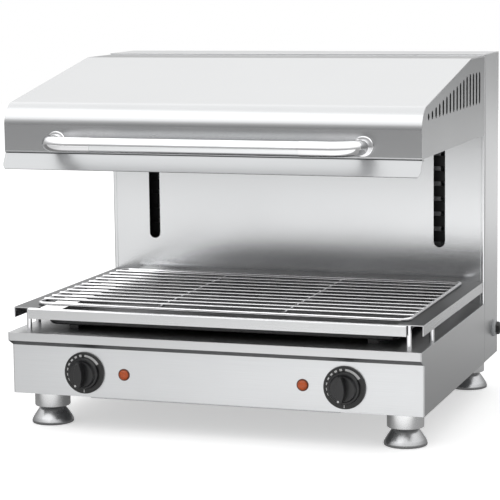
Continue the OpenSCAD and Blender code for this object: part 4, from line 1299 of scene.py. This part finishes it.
@dataclass
class Controls:
    """Two dial rings with scales, two knobs on their regulators and two lamps.

    Attributes:
        ring_t: Thickness of the dial rings.
        ring_bore: Radius of the dial rings' bore.
        scale_r: Middle radius of the printed scale.
        ink_t: Thickness of the printed marks.
        body_r: Radius of a knob's round body.
        spindle_r: Radius of a knob's spindle.
        spindle_l: Length of the spindle behind the panel.
        grip_half: Half the length of a knob's grip.
        grip_mid: Half its width in the middle.
        grip_end: Half its width at the ends.
        dot_r: Distance of a knob's dot from its axis.
        pointer: Angle of each knob's dot, from straight down towards the left.
        lens_r: Radius of a lamp's lens.
        lamp_l: Length of a lamp's bezel behind the panel.
    """

    ring_t: float = 4 * MM
    ring_bore: float = 5.3 * MM
    scale_r: float = 24.9 * MM
    ink_t: float = 0.03 * MM
    body_r: float = 19 * MM
    spindle_r: float = 3 * MM
    spindle_l: float = 18.5 * MM
    grip_half: float = 17.5 * MM
    grip_mid: float = 6 * MM
    grip_end: float = 2 * MM
    dot_r: float = 14.5 * MM
    pointer: dict[str, float] = field(default_factory=lambda: {"left": 14.0, "right": 8.0})
    lens_r: float = 7.15 * MM
    lamp_l: float = 30 * MM

    @staticmethod
    def seat(side: str) -> Vector:
        """Returns the point of the panel behind the middle of a dial."""
        centre = middle(f"dial_ring_{side}")
        centre.y = corners(f"dial_ring_{side}")[1].y
        return centre

    def mark(self, shape: Shape, centre: Vector, start: float, end: float, width: tuple[float, float]) -> None:
        """Lays one printed mark on a dial, as an arc band that tapers.

        Args:
            shape: Mesh that gets the mark.
            centre: Middle of the dial's front face.
            start: Angle where it starts, in degrees clockwise from the top.
            end: Angle where it ends.
            width: Radial width at its start and end.
        """
        steps = max(1, round((end - start) / 4))
        rings: list[list[bmesh.types.BMVert]] = []
        for i in range(steps + 1):
            angle = math.radians(start + (end - start) * i / steps)
            half = (width[0] + (width[1] - width[0]) * i / steps) / 2
            aim = Vector((math.sin(angle), 0.0, math.cos(angle)))
            rings.append([
                shape.bm.verts.new(centre + aim * (self.scale_r - half)),
                shape.bm.verts.new(centre + aim * (self.scale_r + half)),
            ])
        for (a, b), (c, d) in zip(rings, rings[1:]):
            shape.bm.faces.new((a, b, d, c))

    def dial(self, side: str) -> None:
        """Turns a dial ring and prints its scale.

        Args:
            side: Side of the panel, left or right.
        """
        low, high = corners(f"dial_ring_{side}")
        centre, r, t, bore = self.seat(side), (high.x - low.x) / 2, self.ring_t, self.ring_bore
        Shape.turned(
            [(bore, 0.0), (r, 0.0), (r, t - 1.0 * MM), (r - 0.3 * MM, t - 0.3 * MM), (r - 1.0 * MM, t),
             (bore, t), (bore, 0.0)],
            centre, Axis.FRONT, 96,
        ).finish(f"dial_{side}", "casing", DIAL_BLACK, f"dial_ring_{side}")
        face = centre + Vector((0.0, -t - 0.02 * MM, 0.0))
        marks = Shape()
        for i in range(7):
            start, width = -118 + 17.2 * i, (0.6 + 0.4 * i) * MM
            self.mark(marks, face, start, start + 8.5, (width, width + 0.3 * MM))
        self.mark(marks, face, 4.0, 58.0, (3.0 * MM, 3.8 * MM))
        bmesh.ops.solidify(marks.bm, geom=marks.bm.faces[:], thickness=self.ink_t)
        marks.box(face + Vector((-0.6, -0.03, -27.5)) * MM, face + Vector((0.6, 0.0, -23.5)) * MM)
        marks.finish(f"dial_scale_{side}", "casing", DIAL_WHITE)

    def knob(self, side: str) -> None:
        """Models a knob with a rounded skirt, a round body, an upright grip and a dot.

        Args:
            side: Side of the panel, left or right.
        """
        node, centre, start = f"knob_{side}", self.seat(side), self.ring_t + 0.3 * MM
        low, high = corners(node)
        skirt, body, root = (high.x - low.x) / 2, self.body_r, self.spindle_r
        step, shoulder = start + 5 * MM, start + 10 * MM
        Shape.turned(
            [(0.0, start), (skirt, start), (skirt - 0.6 * MM, step - 1.2 * MM),
             (skirt - 1.6 * MM, step - 0.2 * MM), (body + 0.6 * MM, step), (body, step + 0.6 * MM),
             (body - 1.0 * MM, shoulder - 1.4 * MM), (body - 1.5 * MM, shoulder - 0.4 * MM),
             (body - 2.6 * MM, shoulder), (0.0, shoulder - 0.8 * MM)],
            centre, Axis.FRONT, 96,
        ).finish(f"{node}_body", node, KNOB_BLACK, node)
        Shape.turned(
            [(0.0, -self.spindle_l), (root, -self.spindle_l), (root, start + 1 * MM), (0.0, start + 1 * MM)],
            centre, Axis.FRONT, 32,
        ).finish(f"{node}_spindle", node, BRIGHT_STEEL)
        self.grip(side, centre, shoulder - 1.2 * MM, centre.y - low.y)

    def grip(self, side: str, centre: Vector, root: float, reach: float) -> None:
        """Raises the lens-shaped grip of a knob and sets its dot.

        Args:
            side: Side of the panel, left or right.
            centre: Point of the panel behind the knob's middle.
            root: Distance of the grip's root in front of the panel.
            reach: Distance of its face in front of the panel.
        """
        outline = []
        for turn in (1.0, -1.0):
            for t in (-1 + i / 8 for i in range(17)):
                width = self.grip_end + (self.grip_mid - self.grip_end) * (1 - t * t)
                point = Vector((turn * width, 0.0, turn * t * self.grip_half))
                outline.append(centre + point + Vector((0.0, -root, 0.0)))
        shape = Shape()
        shape.slab(outline, Vector((0.0, root - reach, 0.0)))
        shape.face_out()
        shape.bevel(shape.edges_at(y=centre.y - reach), 1.0 * MM, 4, clamp=True)
        shape.finish(f"knob_{side}_grip", f"knob_{side}", KNOB_BLACK)
        angle = math.radians(self.pointer[side])
        aim = Vector((-math.sin(angle), 0.0, -math.cos(angle)))
        Shape.turned(
            [(0.0, 0.0), (1.5 * MM, 0.0), (1.5 * MM, 0.3 * MM), (1.2 * MM, 0.35 * MM), (0.0, 0.4 * MM)],
            centre + aim * self.dot_r + Vector((0.0, 0.25 * MM - reach, 0.0)), Axis.FRONT, 24,
        ).finish(f"knob_{side}_dot", f"knob_{side}", DIAL_WHITE)

    def lamp(self, side: str) -> None:
        """Turns a lamp's bezel and its domed lens.

        Args:
            side: Side of the panel, left or right.
        """
        node, lens = f"lamp_{side}", self.lens_r
        low, high = corners(node)
        centre, r, inner = middle(node), (high.x - low.x) / 2, lens - 1.5 * MM
        centre.y = corners("base_front_panel")[0].y
        Shape.turned(
            [(inner, -self.lamp_l), (lens, -self.lamp_l), (lens, 0.0), (r, 0.0), (r, 0.6 * MM),
             (r - 0.3 * MM, 0.95 * MM), (lens + 0.3 * MM, 1.5 * MM), (lens - 0.1 * MM, 1.3 * MM),
             (inner, 0.9 * MM), (inner, -self.lamp_l)],
            centre, Axis.FRONT, 64,
        ).finish(f"{node}_bezel", "casing", LAMP_BEZEL, node)
        dome = [(lens * math.cos(a), (1.0 + 3.0 * math.sin(a)) * MM)
                for a in (math.radians(9 * i) for i in range(11))]
        Shape.turned(
            [(0.0, -4 * MM), (lens - 1.6 * MM, -4 * MM), (lens - 1.6 * MM, 1 * MM),
             *[(x * 0.97, z) for x, z in dome[:-1]], (0.0, dome[-1][1])],
            centre, Axis.FRONT, 64,
        ).finish(f"{node}_lens", "casing", AMBER)

    def build(self) -> None:
        """Makes the controls of both heating zones."""
        for side in SIDES:
            self.dial(side)
            self.knob(side)
            self.lamp(side)
            coat(f"regulator_{side}", CERAMIC)
        coat("terminal_block", CERAMIC)


@dataclass
class GridAndTray:
    """Wire grid on its rails, and the drip tray on runners below it.

    Attributes:
        frame_r: Radius of the grid's outer wire.
        cross_r: Radius of the cross wires and stays.
        corner_r: Radius of the grid's corners.
        crosses: Number of cross wires.
        stay_x: Distance of the stays from the middle.
        tray_t: Thickness of the tray's sheet.
        slope: Width of the tray's rim, and of the slope of its walls.
        tray_r: Radius of the tray's upright corners.
        foot_r: Radius of the bend round the tray's floor.
    """

    frame_r: float = 2.5 * MM
    cross_r: float = 2.0 * MM
    corner_r: float = 12 * MM
    crosses: int = 11
    stay_x: float = 92 * MM
    tray_t: float = 0.8 * MM
    slope: float = 5 * MM
    tray_r: float = 9 * MM
    foot_r: float = 2.5 * MM

    def outer_wire(self, low: Vector, high: Vector, z: float) -> None:
        """Sweeps the outer wire round the grid.

        Args:
            low: Lowest corner of its centre line.
            high: Highest corner of its centre line.
            z: Height of its centre line.
        """
        width, depth, r = high.x - low.x, high.y - low.y, self.corner_r
        moves: list[Straight | Bend] = []
        for i, towards in enumerate((Axis.BACK, Axis.LEFT, Axis.FRONT, Axis.RIGHT)):
            moves.append(Straight((depth if i % 2 else width) - 2 * r))
            moves.append(Bend(r, math.pi / 2, towards.vector, 12))
        Shape.swept(
            Vector((low.x + r, low.y, z)), Axis.RIGHT.vector, self.frame_r, moves, 24, closed=True,
        ).finish("grid_outer_wire", "wire_grid", WIRE, "wire_grid")

    def rod(self, name: str, start: Vector, axis: Axis, length: float) -> None:
        """Draws a straight wire with rounded ends.

        Args:
            name: Name of the wire.
            start: Middle of its first end.
            axis: Direction in which it runs.
            length: Its length.
        """
        shape = Shape.swept(start, axis.vector, self.cross_r, [Straight(length)], 20)
        shape.soften(0.8 * MM, 2, CORNER_ANGLE)
        shape.finish(name, "wire_grid", WIRE)

    def grid(self) -> None:
        """Makes the outer wire, the cross wires and the stays."""
        low, high = corners("wire_grid")
        inner = Vector((self.frame_r, self.frame_r, 0.0))
        first, last, over = low + inner, high - inner, 1.2 * MM
        self.outer_wire(first, last, low.z + self.frame_r)
        stay_z, cross_z = low.z + self.cross_r, high.z - self.cross_r
        step = (last.y - first.y) / (self.crosses + 1)
        for i in range(self.crosses):
            start = Vector((first.x - over, first.y + (i + 1) * step, cross_z))
            self.rod(f"grid_cross_wire_{i:02d}", start, Axis.RIGHT, last.x - first.x + 2 * over)
        for side, sign in SIDES.items():
            start = Vector((sign * self.stay_x, first.y, stay_z))
            self.rod(f"grid_stay_{side}", start, Axis.BACK, last.y - first.y)

    def tray(self) -> None:
        """Presses the tray with its rounded corners and flat rim."""
        low, high = corners("drip_tray")
        shape, centre, slope = Shape(), (low + high) / 2, self.slope
        top, floor = high.z - self.tray_t, low.z
        verts = shape.box(Vector((low.x + slope, low.y + slope, floor)),
                          Vector((high.x - slope, high.y - slope, top)))
        for vert in verts:
            if vert.co.z < (top + floor) / 2:
                vert.co.x -= math.copysign(slope, vert.co.x)
                vert.co.y -= math.copysign(slope, vert.co.y - centre.y)
        upright = [edge for edge in shape.bm.edges if abs(edge.verts[0].co.z - edge.verts[1].co.z) > 1 * MM]
        shape.bevel(upright, self.tray_r, 6)
        lid = max(shape.bm.faces, key=lambda face: face.calc_center_median().z)
        rim_edges = lid.edges[:]
        bmesh.ops.delete(shape.bm, geom=[lid], context="FACES_ONLY")
        made = bmesh.ops.extrude_edge_only(shape.bm, edges=rim_edges)["geom"]
        rim = [item for item in made if isinstance(item, bmesh.types.BMVert)]
        width, depth = high.x - low.x, high.y - low.y
        wide = Vector((width / (width - 2 * slope), depth / (depth - 2 * slope), 1.0))
        bmesh.ops.scale(shape.bm, vec=wide, verts=rim, space=Matrix.Translation(-centre))
        shape.bevel(shape.edges_at(z=floor), self.foot_r, 4)
        shape.thicken(self.tray_t, -1.0)
        shape.finish("drip_tray_pressed", "drip_tray", ENAMEL, "drip_tray")

    def build(self) -> None:
        """Makes the grid and tray, and dresses their supports."""
        self.grid()
        self.tray()
        for side in SIDES:
            rail = refine(f"grid_rail_{side}", "casing", RAIL_STEEL)
            # the rails' upward faces get painted shade
            dress_faces(rail, RAIL_TOP_SHADE_STEEL, Axis.UP.vector)
        refine("grid_front_bar", "casing", BAR_STEEL)
        refine("grid_posts", "casing", WIRE, 0.3 * MM)
        refine("tray_runners", "casing", BLACK_STEEL)


@dataclass
class Supply:
    """Cable gland in the column's right side, with its clamping nut.

    Attributes:
        bore: Radius of the gland's bore.
        neck_r: Radius of its neck, which passes the sheet.
        tail: Distance of its inner end behind the sheet.
    """

    bore: float = 5 * MM
    neck_r: float = 8 * MM
    tail: float = 13.5 * MM

    def build(self) -> None:
        """Turns the gland and softens its nut."""
        low, high = corners("cable_gland")
        centre = middle("cable_gland")
        centre.x = corners("column_side_right")[1].x
        r, t, neck = (high.z - low.z) / 2, high.x - centre.x, self.neck_r
        Shape.turned(
            [(self.bore, -self.tail), (neck, -self.tail), (neck, -6.5 * MM), (r, -6.5 * MM),
             (r, -1.5 * MM), (neck, -1.5 * MM), (neck, 0.0), (r, 0.0), (r, 0.5 * t),
             (r - 0.3 * t, 0.9 * t), (r - 0.8 * t, t), (self.bore, t), (self.bore, -self.tail)],
            centre, Axis.RIGHT, 64,
        ).finish("gland_body", "casing", GLAND_GREY, "cable_gland")
        refine("gland_nut", "casing", GLAND_BLACK, 0.5 * MM)


def main() -> None:
    """Builds the grill round its frame."""
    logging.basicConfig(level=logging.INFO, format="%(message)s")
    FRAME.update(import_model())
    Studio().build()
    for part in (Base(), Feet(), Column(), Lift(), Hood(), Handle(), Controls(), GridAndTray(), Supply()):
        part.build()
        LOG.info("%s is done", type(part).__name__)


if __name__ == "__main__":
    main()
